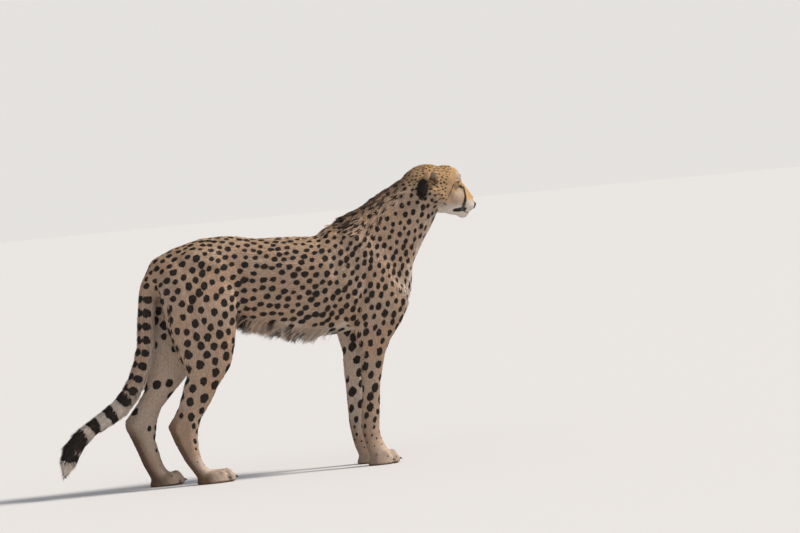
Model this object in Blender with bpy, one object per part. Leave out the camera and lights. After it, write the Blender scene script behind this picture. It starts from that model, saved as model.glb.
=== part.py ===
"""A standing cheetah, life size, as faceted solids that reach the tips of its coat.

Metres, +Z up.  The animal looks along +X, its left side is +Y and its soles
stand on z = 0.  The flesh is modelled whole from rings and rounded masses,
joined by a voxel remesh, and then parted into its named pieces by thin cuts.
"""

from dataclasses import dataclass
from math import cos, radians, sin

import bmesh
import bpy
import numpy as np
from mathutils import Matrix, Vector

# ---------------------------------------------------------------- dimensions
GAP = 0.0003                  # clearance between neighbouring pieces
VOXEL = 0.0055                # grid of the remesh that joins the masses
RING_POINTS = 20              # points round a ring
SPAN_STEPS = 4                # rings between two stations
BODY_SQUARE = 2.25            # superellipse power of trunk, neck and nose
LEG_SQUARE = 2.1
TAIL_SQUARE = 2.0
TAIL_POINTS = 12
TAIL_STEPS = 1
ORIGIN_SHIFT = Vector((0.0482, -0.0035, 0.0))

# smoothing of the joined flesh, and its budgets of triangles
SOFT_FACTOR = 0.5
SOFT_STEPS = 14
HEAD_FIRMNESS = 0.70          # how much of the smoothing head and paws escape
EVEN_TRIANGLES = 9600         # after the even thinning: density of head and paws
FLESH_TRIANGLES = 4350        # after trunk and limbs are thinned further
GROUP_LEVELS = 10             # steps in which a vertex group is painted
GROUP_PULL = 10.0             # how strongly a group steers the thinning
DETAIL_CENTRE = (0.110, 0.0, 0.040)         # middle of the fine zone of the head
DETAIL_REACH = (0.185, 0.125)               # where it ends, and is full
DETAIL_HEIGHT = (0.095, 0.045)              # the same for the paws

HEAD_ORIGIN = Vector((0.430, 0.008, 0.850))
HEAD_YAW = radians(9.0)       # to the animal's left
HEAD_PITCH = radians(15.0)    # nose down
HEAD_TURN = Matrix.Rotation(HEAD_YAW, 3, "Z") @ Matrix.Rotation(HEAD_PITCH, 3, "Y")

EYE_RADIUS = 0.0165
EYE_CENTRE = Vector((0.1545, 0.0345, 0.0640))
EYE_SEGMENTS = 12
EYE_RINGS = 8

SIDES = {"left": 1.0, "right": -1.0}

TAN = (0.60, 0.42, 0.26)
PALE = (0.74, 0.64, 0.50)
BLACK = (0.020, 0.017, 0.015)
AMBER = (0.42, 0.20, 0.05)
HORN = (0.10, 0.08, 0.06)


@dataclass
class Station:
    """One ring of a mass: centre, half width across, reach above and below."""

    x: float
    y: float
    z: float
    half: float
    above: float
    below: float


@dataclass
class Level:
    """One horizontal slice of a leg, from its front and rear edge."""

    z: float
    front: float
    rear: float
    out: float
    half: float


@dataclass
class Ball:
    """A rounded mass given by its centre, radii and nose-down turn."""

    centre: tuple
    radii: tuple
    turn: float = 0.0
    splay: float = 0.0


# x, y, z of the axis; half width; reach above and below, across the axis
TRUNK = [
    Station(-0.428, 0.0, 0.672, 0.034, 0.040, 0.050),
    Station(-0.395, 0.0, 0.675, 0.052, 0.065, 0.075),
    Station(-0.340, 0.0, 0.668, 0.074, 0.094, 0.100),
    Station(-0.277, 0.0, 0.660, 0.084, 0.119, 0.110),
    Station(-0.219, 0.0, 0.658, 0.086, 0.125, 0.105),
    Station(-0.161, 0.0, 0.660, 0.083, 0.121, 0.118),
    Station(-0.089, 0.0, 0.640, 0.090, 0.125, 0.158),
    Station(-0.008, 0.0, 0.622, 0.101, 0.139, 0.165),
    Station(0.074, 0.0, 0.607, 0.109, 0.147, 0.172),
    Station(0.135, 0.0, 0.600, 0.110, 0.158, 0.176),
    Station(0.200, 0.0, 0.605, 0.104, 0.178, 0.170),
    Station(0.270, 0.0, 0.610, 0.092, 0.170, 0.165),
    Station(0.340, 0.0, 0.600, 0.076, 0.140, 0.140),
    Station(0.393, 0.0, 0.590, 0.052, 0.105, 0.098),
    Station(0.418, 0.0, 0.588, 0.030, 0.060, 0.052),
]

NECK = [
    Station(0.230, 0.000, 0.660, 0.084, 0.120, 0.150),
    Station(0.290, 0.000, 0.695, 0.080, 0.128, 0.146),
    Station(0.345, 0.001, 0.738, 0.073, 0.112, 0.132),
    Station(0.395, 0.004, 0.782, 0.068, 0.098, 0.117),
    Station(0.440, 0.009, 0.818, 0.066, 0.086, 0.106),
    Station(0.475, 0.014, 0.842, 0.062, 0.078, 0.090),
    Station(0.505, 0.018, 0.864, 0.048, 0.056, 0.060),
]

# the tail's axis, with one radius: root behind the rump, down, then back
TAIL = [
    Station(-0.352, 0.0, 0.698, 0.030, 0.030, 0.030),
    Station(-0.392, 0.0, 0.697, 0.036, 0.036, 0.036),
    Station(-0.424, 0.0, 0.655, 0.034, 0.034, 0.034),
    Station(-0.440, 0.0, 0.600, 0.031, 0.031, 0.031),
    Station(-0.450, 0.0, 0.540, 0.030, 0.030, 0.030),
    Station(-0.459, 0.0, 0.456, 0.030, 0.031, 0.031),
    Station(-0.475, 0.0, 0.400, 0.030, 0.031, 0.031),
    Station(-0.497, 0.0, 0.350, 0.030, 0.031, 0.031),
    Station(-0.524, 0.0, 0.306, 0.030, 0.032, 0.032),
    Station(-0.558, 0.0, 0.269, 0.030, 0.032, 0.032),
    Station(-0.604, 0.0, 0.240, 0.028, 0.030, 0.030),
    Station(-0.652, 0.0, 0.214, 0.027, 0.029, 0.029),
    Station(-0.695, 0.0, 0.184, 0.028, 0.031, 0.031),
    Station(-0.724, 0.0, 0.152, 0.029, 0.033, 0.033),
    Station(-0.740, 0.0, 0.120, 0.027, 0.031, 0.031),
    Station(-0.751, 0.0, 0.092, 0.018, 0.020, 0.020),
    Station(-0.757, 0.0, 0.076, 0.008, 0.009, 0.009),
]

# names of the tail's lengths behind the root, from the tip forward, and where
# along the tail's axis each begins
TAIL_CUTS = (("tail_tip", 12), ("tail_bend", 8), ("tail_middle", 4))

# shoulder blade, and the muscle over the hip, on both sides
BODY_PAIRS = [
    Ball((0.268, 0.070, 0.628), (0.070, 0.034, 0.150), -26.0, 4.0),
    Ball((0.225, 0.078, 0.520), (0.062, 0.036, 0.090), -14.0),
    Ball((-0.262, 0.062, 0.665), (0.100, 0.034, 0.088), 14.0),
]

HIND_RIGHT = [
    Level(0.715, -0.235, -0.375, 0.040, 0.030),
    Level(0.690, -0.205, -0.400, 0.050, 0.040),
    Level(0.640, -0.172, -0.415, 0.058, 0.045),
    Level(0.590, -0.160, -0.412, 0.063, 0.048),
    Level(0.540, -0.162, -0.405, 0.067, 0.049),
    Level(0.490, -0.172, -0.397, 0.069, 0.048),
    Level(0.450, -0.180, -0.385, 0.070, 0.045),
    Level(0.411, -0.188, -0.372, 0.069, 0.042),
    Level(0.361, -0.207, -0.350, 0.068, 0.037),
    Level(0.306, -0.249, -0.368, 0.066, 0.031),
    Level(0.258, -0.277, -0.385, 0.065, 0.027),
    Level(0.220, -0.305, -0.408, 0.065, 0.026),
    Level(0.196, -0.318, -0.427, 0.065, 0.026),
    Level(0.166, -0.328, -0.421, 0.065, 0.025),
    Level(0.134, -0.330, -0.407, 0.065, 0.024),
    Level(0.102, -0.329, -0.394, 0.065, 0.024),
    Level(0.069, -0.321, -0.377, 0.065, 0.024),
    Level(0.040, -0.300, -0.358, 0.065, 0.027),
    Level(0.020, -0.290, -0.346, 0.065, 0.026),
]

HIND_LEFT = [
    Level(0.715, -0.235, -0.375, 0.040, 0.030),
    Level(0.690, -0.208, -0.402, 0.050, 0.040),
    Level(0.640, -0.190, -0.420, 0.058, 0.045),
    Level(0.590, -0.192, -0.425, 0.063, 0.048),
    Level(0.540, -0.203, -0.430, 0.067, 0.049),
    Level(0.490, -0.220, -0.434, 0.069, 0.048),
    Level(0.450, -0.238, -0.438, 0.070, 0.045),
    Level(0.411, -0.260, -0.442, 0.069, 0.042),
    Level(0.361, -0.302, -0.452, 0.068, 0.037),
    Level(0.316, -0.348, -0.466, 0.067, 0.032),
    Level(0.280, -0.384, -0.487, 0.066, 0.029),
    Level(0.245, -0.416, -0.517, 0.066, 0.026),
    Level(0.213, -0.429, -0.542, 0.066, 0.026),
    Level(0.182, -0.437, -0.535, 0.066, 0.026),
    Level(0.148, -0.443, -0.521, 0.066, 0.025),
    Level(0.115, -0.436, -0.509, 0.066, 0.024),
    Level(0.079, -0.429, -0.497, 0.066, 0.024),
    Level(0.046, -0.416, -0.482, 0.066, 0.027),
    Level(0.022, -0.410, -0.470, 0.066, 0.026),
]

# the right foreleg; the left one stands a little further back
FORE = [
    Level(0.620, 0.330, 0.190, 0.068, 0.034),
    Level(0.560, 0.385, 0.170, 0.072, 0.038),
    Level(0.515, 0.402, 0.172, 0.074, 0.040),
    Level(0.470, 0.380, 0.190, 0.073, 0.039),
    Level(0.437, 0.356, 0.203, 0.071, 0.037),
    Level(0.398, 0.325, 0.213, 0.068, 0.034),
    Level(0.360, 0.305, 0.219, 0.066, 0.031),
    Level(0.308, 0.289, 0.217, 0.064, 0.028),
    Level(0.255, 0.277, 0.214, 0.063, 0.026),
    Level(0.206, 0.271, 0.208, 0.062, 0.025),
    Level(0.160, 0.265, 0.203, 0.062, 0.025),
    Level(0.116, 0.262, 0.201, 0.062, 0.025),
    Level(0.082, 0.266, 0.205, 0.062, 0.027),
    Level(0.055, 0.278, 0.211, 0.062, 0.030),
    Level(0.030, 0.282, 0.220, 0.062, 0.028),
]
# how far back the left foreleg stands, at its top and at the wrist
LEFT_LAG = (-0.028, -0.009)
LAG_HEIGHTS = (0.300, 0.100)


@dataclass
class Paw:
    """A foot: heel and toe tip along x, its distance out, and its size."""

    heel: float
    tip: float
    out: float
    half: float
    height: float


PAWS = {
    ("fore", "right"): Paw(0.212, 0.319, 0.062, 0.034, 0.058),
    ("fore", "left"): Paw(0.204, 0.311, 0.062, 0.034, 0.058),
    ("hind", "right"): Paw(-0.350, -0.219, 0.065, 0.031, 0.052),
    ("hind", "left"): Paw(-0.478, -0.362, 0.066, 0.031, 0.054),
}
TOE_SPREAD = (-0.72, -0.27, 0.27, 0.72)     # across the paw, in half widths
TOE_TRIM = (0.024, 0.0, 0.002, 0.028)       # how far each toe stops short
TOE_MIDDLE = 0.019
TOE_HEIGHT = 0.0265
TOE_HALF = 0.0115
TOE_REACH = 0.30                            # half a toe's length, of the foot's
TOE_TURN = 10.0
TOE_SPLAY = 6.0
# body and heel pad: place along the foot, radii, and turn of the body
PAW_PLACE, PAW_RADII, PAW_TURN = (0.47, 0.34), (0.40, 0.88, 0.56), 8.0
HEEL_PLACE, HEEL_RADII = (0.26, 0.010), (0.26, 0.74, 0.020)
CLAW_LENGTH = 0.017
CLAW_RADIUS = 0.0032
CLAW_HEIGHT = 0.0185
CLAW_DROOP = 42.0
CLAW_SINK = 0.45                            # part of a claw that starts in the toe
CLAW_POINTS = 5
CLAW_SLICES = (0.0, 0.55, 1.0)
CLAW_FLATNESS = 0.72
CLAW_TAPER = 0.86

# head masses in the head's own axes: forward, left, up
HEAD_BALLS = [
    Ball((0.080, 0.0, 0.052), (0.084, 0.066, 0.064)),
    Ball((0.129, 0.0, 0.069), (0.055, 0.047, 0.053)),
    Ball((0.050, 0.0, 0.035), (0.066, 0.065, 0.066)),
    Ball((0.115, 0.0, 0.000), (0.072, 0.048, 0.038)),
    Ball((0.188, 0.0, 0.032), (0.048, 0.026, 0.035), 34.0),
    Ball((0.238, 0.0, 0.019), (0.014, 0.017, 0.014)),
    Ball((0.211, 0.0, -0.021), (0.021, 0.019, 0.019)),
    Ball((0.172, 0.0, -0.014), (0.046, 0.026, 0.021)),
    Ball((0.142, 0.0, 0.026), (0.062, 0.047, 0.046), 20.0),
]
HEAD_PAIRS = [
    Ball((0.156, 0.029, 0.084), (0.025, 0.020, 0.016), 14.0),
    Ball((0.124, 0.042, 0.066), (0.034, 0.019, 0.025), 0.0, -14.0),
    Ball((0.126, 0.037, 0.038), (0.046, 0.024, 0.028), 18.0, -16.0),
    Ball((0.176, 0.019, 0.044), (0.034, 0.019, 0.028), 38.0, -10.0),
    Ball((0.088, 0.041, 0.014), (0.060, 0.032, 0.048), 8.0, -10.0),
    Ball((0.034, 0.052, 0.030), (0.027, 0.022, 0.036)),
    Ball((0.216, 0.0160, 0.009), (0.029, 0.0175, 0.023), 20.0, -8.0),
]
BRIDGE_TOP = ((0.168, 0.092), (0.194, 0.073), (0.220, 0.053), (0.247, 0.031))
BRIDGE_HALF = (0.021, 0.0175, 0.0165, 0.0155)
BRIDGE_SINK = Vector((0.010, 0.0, 0.014))   # from its top edge to its axis
BRIDGE_LIFT = Vector((0.60, 0.0, 0.80))
BRIDGE_ABOVE = 0.0165
BRIDGE_BELOW = 0.022

# the ear: root inside the head, tip, half breadth, wall and depth of the cup
EAR_ROOT = Vector((0.052, 0.070, 0.005))
EAR_TIP = Vector((0.056, 0.098, 0.088))
EAR_HALF = 0.031
EAR_WALL = 0.008
EAR_OPEN = Vector((0.62, 0.78, -0.05))      # where the cup looks
EAR_DEPTH = 0.027
EAR_SLICES = (0.0, 0.22, 0.44, 0.64, 0.82, 0.95)
EAR_ARC = 6
EAR_ROUNDNESS = 2.8           # power of the outline's narrowing to the tip
EAR_FLATTEN = 0.62            # part of the cup's depth lost towards the tip
EAR_FORWARD = 0.25            # how far the cup sits before its axis, of its depth
EAR_RIM = 0.94                # breadth of the hollow at the rim, of the back's


BALL_DIVISIONS = 3
TANGENT_STEP = 0.05           # part of a span over which a direction is taken


# ------------------------------------------------------------ mesh helpers
def new_object(name, vertices, faces):
    """Return a linked mesh object with its faces turned outward."""
    mesh = bpy.data.meshes.new(name)
    mesh.from_pydata([tuple(v) for v in vertices], [], faces)
    shape = bmesh.new()
    shape.from_mesh(mesh)
    bmesh.ops.recalc_face_normals(shape, faces=shape.faces)
    shape.to_mesh(mesh)
    shape.free()
    thing = bpy.data.objects.new(name, mesh)
    bpy.context.scene.collection.objects.link(thing)
    return thing


def remove(thing):
    """Delete an object together with its mesh."""
    mesh = thing.data
    bpy.data.objects.remove(thing)
    bpy.data.meshes.remove(mesh)


def settle(thing):
    """Replace an object's mesh by what its modifiers make of it."""
    graph = bpy.context.evaluated_depsgraph_get()
    mesh = bpy.data.meshes.new_from_object(thing.evaluated_get(graph))
    old = thing.data
    thing.modifiers.clear()
    thing.data = mesh
    mesh.name = thing.name
    bpy.data.meshes.remove(old)
    return thing


def blend(values, position):
    """Catmull-Rom value of a list of numbers or vectors at a position."""
    last = len(values) - 1
    k = min(int(position), last - 1)
    t = position - k
    before = values[max(k - 1, 0)]
    start, end = values[k], values[k + 1]
    after = values[min(k + 2, last)]
    return 0.5 * (
        2.0 * start
        + (end - before) * t
        + (2.0 * before - 5.0 * start + 4.0 * end - after) * t ** 2
        + (3.0 * start - before - 3.0 * end + after) * t ** 3
    )


def oval(centre, across, lift, half, above, below, square=BODY_SQUARE, points=RING_POINTS):
    """Return one ring: a superellipse with its own reach above and below."""
    ring = []
    for k in range(points):
        turn = 2.0 * np.pi * k / points
        c, s = cos(turn), sin(turn)
        u = np.sign(c) * abs(c) ** (2.0 / square)
        v = np.sign(s) * abs(s) ** (2.0 / square)
        reach = above if v > 0.0 else below
        ring.append(centre + across * (half * u) + lift * (reach * v))
    return ring


def skin_rings(name, rings):
    """Join rings of equal length into one closed tube."""
    count = len(rings[0])
    vertices = [point for ring in rings for point in ring]
    faces = []
    for r in range(len(rings) - 1):
        for k in range(count):
            j = (k + 1) % count
            low, high = r * count, (r + 1) * count
            faces.append((low + k, low + j, high + j, high + k))
    faces.append(tuple(range(count)))
    top = (len(rings) - 1) * count
    faces.append(tuple(top + k for k in range(count)))
    return new_object(name, vertices, faces)


def tube(name, stations, square=BODY_SQUARE, span=SPAN_STEPS, points=RING_POINTS):
    """Loft a mass along its stations, each ring square to the axis."""
    axis = [Vector((s.x, s.y, s.z)) for s in stations]
    steps = (len(stations) - 1) * span
    rings = []
    for i in range(steps + 1):
        at = i / span
        centre = blend(axis, at)
        ahead = blend(axis, min(at + TANGENT_STEP, steps / span))
        behind = blend(axis, max(at - TANGENT_STEP, 0.0))
        tangent = (ahead - behind).normalized()
        across = Vector((0.0, 1.0, 0.0))
        across = (across - tangent * across.dot(tangent)).normalized()
        lift = tangent.cross(across)
        half = blend([s.half for s in stations], at)
        above = blend([s.above for s in stations], at)
        below = blend([s.below for s in stations], at)
        rings.append(oval(centre, across, lift, half, above, below, square, points))
    return skin_rings(name, rings)


def lag_at(height, side):
    """Return how far the left foreleg is set back at a height."""
    if side < 0.0:
        return 0.0
    return float(np.interp(height, LAG_HEIGHTS[::-1], LEFT_LAG[::-1]))


def leg(name, levels, side, lagging=False):
    """Loft a leg from its horizontal slices."""
    steps = (len(levels) - 1) * SPAN_STEPS
    rings = []
    for i in range(steps + 1):
        at = i / SPAN_STEPS
        front = blend([s.front for s in levels], at)
        rear = blend([s.rear for s in levels], at)
        height = blend([s.z for s in levels], at)
        out = blend([s.out for s in levels], at)
        half = blend([s.half for s in levels], at)
        back = lag_at(height, side) if lagging else 0.0
        centre = Vector((0.5 * (front + rear) + back, side * out, height))
        depth = 0.5 * (front - rear)
        forward, across = Vector((1.0, 0.0, 0.0)), Vector((0.0, 1.0, 0.0))
        rings.append(oval(centre, across, forward, half, depth, depth, LEG_SQUARE))
    return skin_rings(name, rings)


def ball(name, centre, radii, turn=0.0, splay=0.0, frame=None):
    """Make an ellipsoid, turned nose-down and splayed about the up axis."""
    shape = bmesh.new()
    bmesh.ops.create_icosphere(shape, subdivisions=BALL_DIVISIONS, radius=1.0)
    spin = Matrix.Rotation(radians(splay), 3, "Z") @ Matrix.Rotation(radians(turn), 3, "Y")
    for vertex in shape.verts:
        local = Vector(centre) + spin @ Vector([a * b for a, b in zip(vertex.co, radii)])
        vertex.co = frame(local) if frame else local
    mesh = bpy.data.meshes.new(name)
    shape.to_mesh(mesh)
    shape.free()
    thing = bpy.data.objects.new(name, mesh)
    bpy.context.scene.collection.objects.link(thing)
    return thing


def head_point(local):
    """Turn a point of the head's own axes into the model's."""
    return HEAD_ORIGIN + HEAD_TURN @ Vector(local)


def join(name, things):
    """Put several meshes in one object, without joining their surfaces."""
    shape = bmesh.new()
    for thing in things:
        shape.from_mesh(thing.data)
        remove(thing)
    mesh = bpy.data.meshes.new(name)
    shape.to_mesh(mesh)
    shape.free()
    whole = bpy.data.objects.new(name, mesh)
    bpy.context.scene.collection.objects.link(whole)
    return whole


def boolean(thing, cutter, operation):
    """Apply an exact Boolean and keep the cutter."""
    cutter.hide_render = True
    cutter.display_type = "WIRE"
    step = thing.modifiers.new("cut", "BOOLEAN")
    step.operation = operation
    step.solver = "EXACT"
    step.object = cutter
    return settle(thing)


def duplicate(thing, name):
    """Return a copy with its own mesh."""
    twin = thing.copy()
    twin.data = thing.data.copy()
    twin.name = name
    bpy.context.scene.collection.objects.link(twin)
    return twin


def swollen(thing, amount):
    """Return a copy whose surface is pushed out by an amount."""
    twin = duplicate(thing, thing.name + "_swollen")
    shape = bmesh.new()
    shape.from_mesh(twin.data)
    shape.normal_update()
    offsets = [vertex.normal * amount for vertex in shape.verts]
    for vertex, offset in zip(shape.verts, offsets):
        vertex.co = vertex.co + offset
    shape.to_mesh(twin.data)
    shape.free()
    return twin


# ------------------------------------------------------------------- masses
def head_masses():
    """Skull, cheeks, brows, whisker pads, bridge and chin."""
    masses = []
    for k, b in enumerate(HEAD_BALLS):
        masses.append(ball(f"head_mass_{k}", b.centre, b.radii, b.turn, b.splay, head_point))
    for side in SIDES.values():
        for k, b in enumerate(HEAD_PAIRS):
            centre = (b.centre[0], side * b.centre[1], b.centre[2])
            name = f"head_pair_{k}_{side:+.0f}"
            masses.append(ball(name, centre, b.radii, b.turn, side * b.splay, head_point))
    masses.append(bridge())
    return masses


def bridge():
    """The nose from between the eyes to its tip, as a lofted ridge."""
    rings = []
    steps = (len(BRIDGE_TOP) - 1) * SPAN_STEPS
    forward = [Vector((x, 0.0, z)) for x, z in BRIDGE_TOP]
    for i in range(steps + 1):
        at = i / SPAN_STEPS
        half = blend(list(BRIDGE_HALF), at)
        centre = blend(forward, at) - BRIDGE_SINK
        across = Vector((0.0, 1.0, 0.0))
        ring = oval(centre, across, BRIDGE_LIFT, half, BRIDGE_ABOVE, BRIDGE_BELOW)
        rings.append([head_point(p) for p in ring])
    return skin_rings("bridge", rings)


def paw_masses(key):
    """The foot's body, its heel pad and four toes."""
    paw, side = PAWS[key], SIDES[key[1]]
    length = paw.tip - paw.heel
    y = side * paw.out
    body = (paw.heel + PAW_PLACE[0] * length, y, PAW_PLACE[1] * paw.height)
    body_radii = (PAW_RADII[0] * length, PAW_RADII[1] * paw.half, PAW_RADII[2] * paw.height)
    heel = (paw.heel + HEEL_PLACE[0] * length, y, HEEL_PLACE[1])
    heel_radii = (HEEL_RADII[0] * length, HEEL_RADII[1] * paw.half, HEEL_RADII[2])
    masses = [ball("paw_body", body, body_radii, PAW_TURN), ball("paw_heel", heel, heel_radii)]
    reach = TOE_REACH * length
    for k, spread in enumerate(TOE_SPREAD):
        centre = (paw.tip - toe_trim(k, side) - reach, y + spread * paw.half, TOE_MIDDLE)
        radii = (reach, TOE_HALF, TOE_HEIGHT)
        masses.append(ball(f"toe_{k}", centre, radii, TOE_TURN, side * spread * TOE_SPLAY))
    return masses


def toe_trim(k, side):
    """Return how far a toe stops short; the two sides mirror each other."""
    return TOE_TRIM[k] if side > 0.0 else TOE_TRIM[-1 - k]


def flesh():
    """Join every mass of the body, smooth it and thin its triangles."""
    masses = [tube("trunk_mass", TRUNK), tube("neck_mass", NECK)]
    for side in SIDES.values():
        for k, b in enumerate(BODY_PAIRS):
            centre = (b.centre[0], side * b.centre[1], b.centre[2])
            masses.append(ball(f"body_pair_{k}", centre, b.radii, b.turn, side * b.splay))
    masses.append(leg("hind_right_mass", HIND_RIGHT, SIDES["right"]))
    masses.append(leg("hind_left_mass", HIND_LEFT, SIDES["left"]))
    for side, sign in SIDES.items():
        masses.append(leg(f"fore_{side}_mass", FORE, sign, True))
    for key in PAWS:
        masses += paw_masses(key)
    masses += head_masses()
    body = join("flesh", masses)
    step = body.modifiers.new("join", "REMESH")
    step.mode = "VOXEL"
    step.voxel_size = VOXEL
    settle(body)
    relax(body)
    thin(body)
    below = Region("ground", *GROUND_BOX, Matrix.Identity(3), Vector((0.0, 0.0, 0.0)))
    ground = box("ground", below, 0.0)
    boolean(body, ground, "DIFFERENCE")
    remove(ground)
    return body


def detail_weight(points):
    """Return 0 on the trunk and upper limbs, rising to 1 on head and paws."""
    head = np.array(head_point(DETAIL_CENTRE))
    span = np.linalg.norm(points - head, axis=1)
    near_head = fade(span, DETAIL_REACH)
    near_floor = fade(points[:, 2], DETAIL_HEIGHT)
    return np.maximum(near_head, near_floor)


def fade(values, ends):
    """Return 0 at the first end and beyond, rising to 1 at the second."""
    return np.clip((ends[0] - values) / (ends[0] - ends[1]), 0.0, 1.0)


def vertex_points(thing):
    """Return the vertices as an array of rows."""
    mesh = thing.data
    points = np.empty(len(mesh.vertices) * 3)
    mesh.vertices.foreach_get("co", points)
    return points.reshape(-1, 3)


def paint_group(thing, name, weights):
    """Give a vertex group its weights, in equal steps."""
    group = thing.vertex_groups.new(name=name)
    steps = np.rint(weights * GROUP_LEVELS).astype(int)
    for level in range(GROUP_LEVELS + 1):
        members = np.flatnonzero(steps == level).tolist()
        group.add(members, level / GROUP_LEVELS, "REPLACE")


def relax(body):
    """Soften the seams of the masses: much on the trunk, little on the head."""
    weight = detail_weight(vertex_points(body))
    paint_group(body, "soft", 1.0 - HEAD_FIRMNESS * weight)
    step = body.modifiers.new("soften", "SMOOTH")
    step.factor = SOFT_FACTOR
    step.iterations = SOFT_STEPS
    step.vertex_group = "soft"
    settle(body)


def decimate(body, triangles, group):
    """Collapse edges down to a number of triangles, within a vertex group."""
    body.data.calc_loop_triangles()
    step = body.modifiers.new("thin", "DECIMATE")
    step.ratio = triangles / len(body.data.loop_triangles)
    step.use_collapse_triangulate = True
    if group:
        step.vertex_group = group
        step.vertex_group_factor = GROUP_PULL
    settle(body)


def thin(body):
    """Reduce the triangles evenly, then further all but head and paws."""
    body.vertex_groups.clear()
    decimate(body, EVEN_TRIANGLES, None)
    weight = detail_weight(vertex_points(body))
    paint_group(body, "plain", 1.0 - weight)
    decimate(body, FLESH_TRIANGLES, "plain")
    body.vertex_groups.clear()


# ------------------------------------------------- pieces beside the flesh
def pinna(name, side):
    """One ear: a cup lofted from crescents, from inside the head to its tip."""
    root = Vector((EAR_ROOT.x, side * EAR_ROOT.y, EAR_ROOT.z))
    tip = Vector((EAR_TIP.x, side * EAR_TIP.y, EAR_TIP.z))
    opening = Vector((EAR_OPEN.x, side * EAR_OPEN.y, EAR_OPEN.z))
    axis = (tip - root).normalized()
    opening = (opening - axis * opening.dot(axis)).normalized()
    breadth = axis.cross(opening)
    length = (tip - root).length
    rings = []
    for s in EAR_SLICES:
        half = EAR_HALF * (1.0 - s ** EAR_ROUNDNESS) ** 0.5
        depth = EAR_DEPTH * (1.0 - EAR_FLATTEN * s) * min(1.0, 2.0 * half / EAR_HALF)
        wall = min(EAR_WALL, 0.55 * depth)
        centre = root + axis * (length * s) + opening * (EAR_FORWARD * depth)
        hollow = (half - 0.35 * wall) * EAR_RIM
        outer, inner = [], []
        for k in range(EAR_ARC):
            turn = np.pi * (k / (EAR_ARC - 1) - 0.5)
            outer.append(centre + breadth * (half * sin(turn)) - opening * (depth * cos(turn)))
            sink = (depth - wall) * cos(turn)
            inner.append(centre + breadth * (hollow * sin(turn)) - opening * sink)
        rings.append([head_point(p) for p in outer + inner[::-1]])
    return skin_rings(name, rings)


def claw(name, tip, y):
    """One blunt claw: a small bent cone that leaves the toe near its tip."""
    rings = []
    start = tip - CLAW_SINK * CLAW_LENGTH
    across = Vector((0.0, 1.0, 0.0))
    for s in CLAW_SLICES:
        angle = radians(CLAW_DROOP) * s
        reach = CLAW_LENGTH * s
        centre = Vector((start + reach * cos(angle), y, CLAW_HEIGHT - reach * sin(angle)))
        lift = Vector((sin(angle), 0.0, cos(angle)))
        size = CLAW_RADIUS * (1.0 - CLAW_TAPER * s)
        rings.append(oval(centre, across, lift, CLAW_FLATNESS * size, size, size, 2.0, CLAW_POINTS))
    return skin_rings(name, rings)


def claws():
    """Four claws on each foot."""
    things = []
    for key, paw in PAWS.items():
        side = SIDES[key[1]]
        for k, spread in enumerate(TOE_SPREAD):
            name = f"claw_{key[0]}_{key[1]}_{k + 1}"
            y = side * paw.out + spread * paw.half
            things.append(claw(name, paw.tip - toe_trim(k, side), y))
    return things


def eyeball(name, side, radius):
    """One eye as a globe."""
    shape = bmesh.new()
    bmesh.ops.create_uvsphere(shape, u_segments=EYE_SEGMENTS, v_segments=EYE_RINGS, radius=radius)
    centre = head_point((EYE_CENTRE.x, side * EYE_CENTRE.y, EYE_CENTRE.z))
    bmesh.ops.translate(shape, vec=centre, verts=shape.verts)
    mesh = bpy.data.meshes.new(name)
    shape.to_mesh(mesh)
    shape.free()
    globe = bpy.data.objects.new(name, mesh)
    bpy.context.scene.collection.objects.link(globe)
    return globe


# ------------------------------------------------------------ parting cuts
# boxes in the head's axes for the nose leather and the lower jaw, and the
# planes that part head from neck and neck from trunk
NOSE_BOX = ((0.2345, -0.016, 0.008), (0.30, 0.016, 0.033))
JAW_BOX = ((0.165, -0.05, -0.09), (0.30, 0.05, -0.0185))
HEAD_BOX = ((0.058, -0.2, -0.3), (0.5, 0.2, 0.3))
HEAD_LEAN = -42.6
NECK_BOX = ((0.7227, -0.3, -0.8), (1.6, 0.3, 0.8))
NECK_LEAN = -43.0
LEG_FAR = 0.3                 # outer limit of the boxes round the legs
WEDGE_FAR = 0.4
WEDGE_TOP = 0.6
BELOW_FLOOR = -0.1
TAIL_BOX = ((0.0, -0.2, -0.2), (0.9, 0.2, 0.25))
GROUND_BOX = ((-1.0, -0.5, -0.5), (1.0, 0.5, 0.0))

# names of each limb's lengths below its top, with the height where each ends
LEG_SPLITS = {
    "fore": (("paw_fore", 0.078), ("forearm", 0.405)),
    "hind": (("paw_hind", 0.058), ("metatarsus", 0.208), ("shank", 0.398)),
}


@dataclass
class Wedge:
    """The cut between a limb's top and the trunk: a leaning inner face."""

    name: str
    lean: float
    out: float
    up: float
    drop: float
    front: float
    rear: float


LEG_WEDGE = {
    "fore": Wedge("upper_arm", 19.5, 0.030, 0.420, 0.030, 0.500, 0.158),
    "hind": Wedge("thigh", 23.3, 0.012, 0.500, 0.090, -0.150, -0.600),
}


@dataclass
class Region:
    """A turned box that takes one piece out of the flesh."""

    name: str
    low: tuple
    high: tuple
    turn: Matrix
    origin: Vector


def box(name, region, grow):
    """Make a region's box, grown on every side by an amount."""
    low = [a - grow for a in region.low]
    high = [a + grow for a in region.high]
    corners = []
    for x in (low[0], high[0]):
        for y in (low[1], high[1]):
            for z in (low[2], high[2]):
                corners.append(region.origin + region.turn @ Vector((x, y, z)))
    faces = [(0, 1, 3, 2), (4, 6, 7, 5), (0, 4, 5, 1), (2, 3, 7, 6), (0, 2, 6, 4), (1, 5, 7, 3)]
    return new_object(name, corners, faces)


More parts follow.
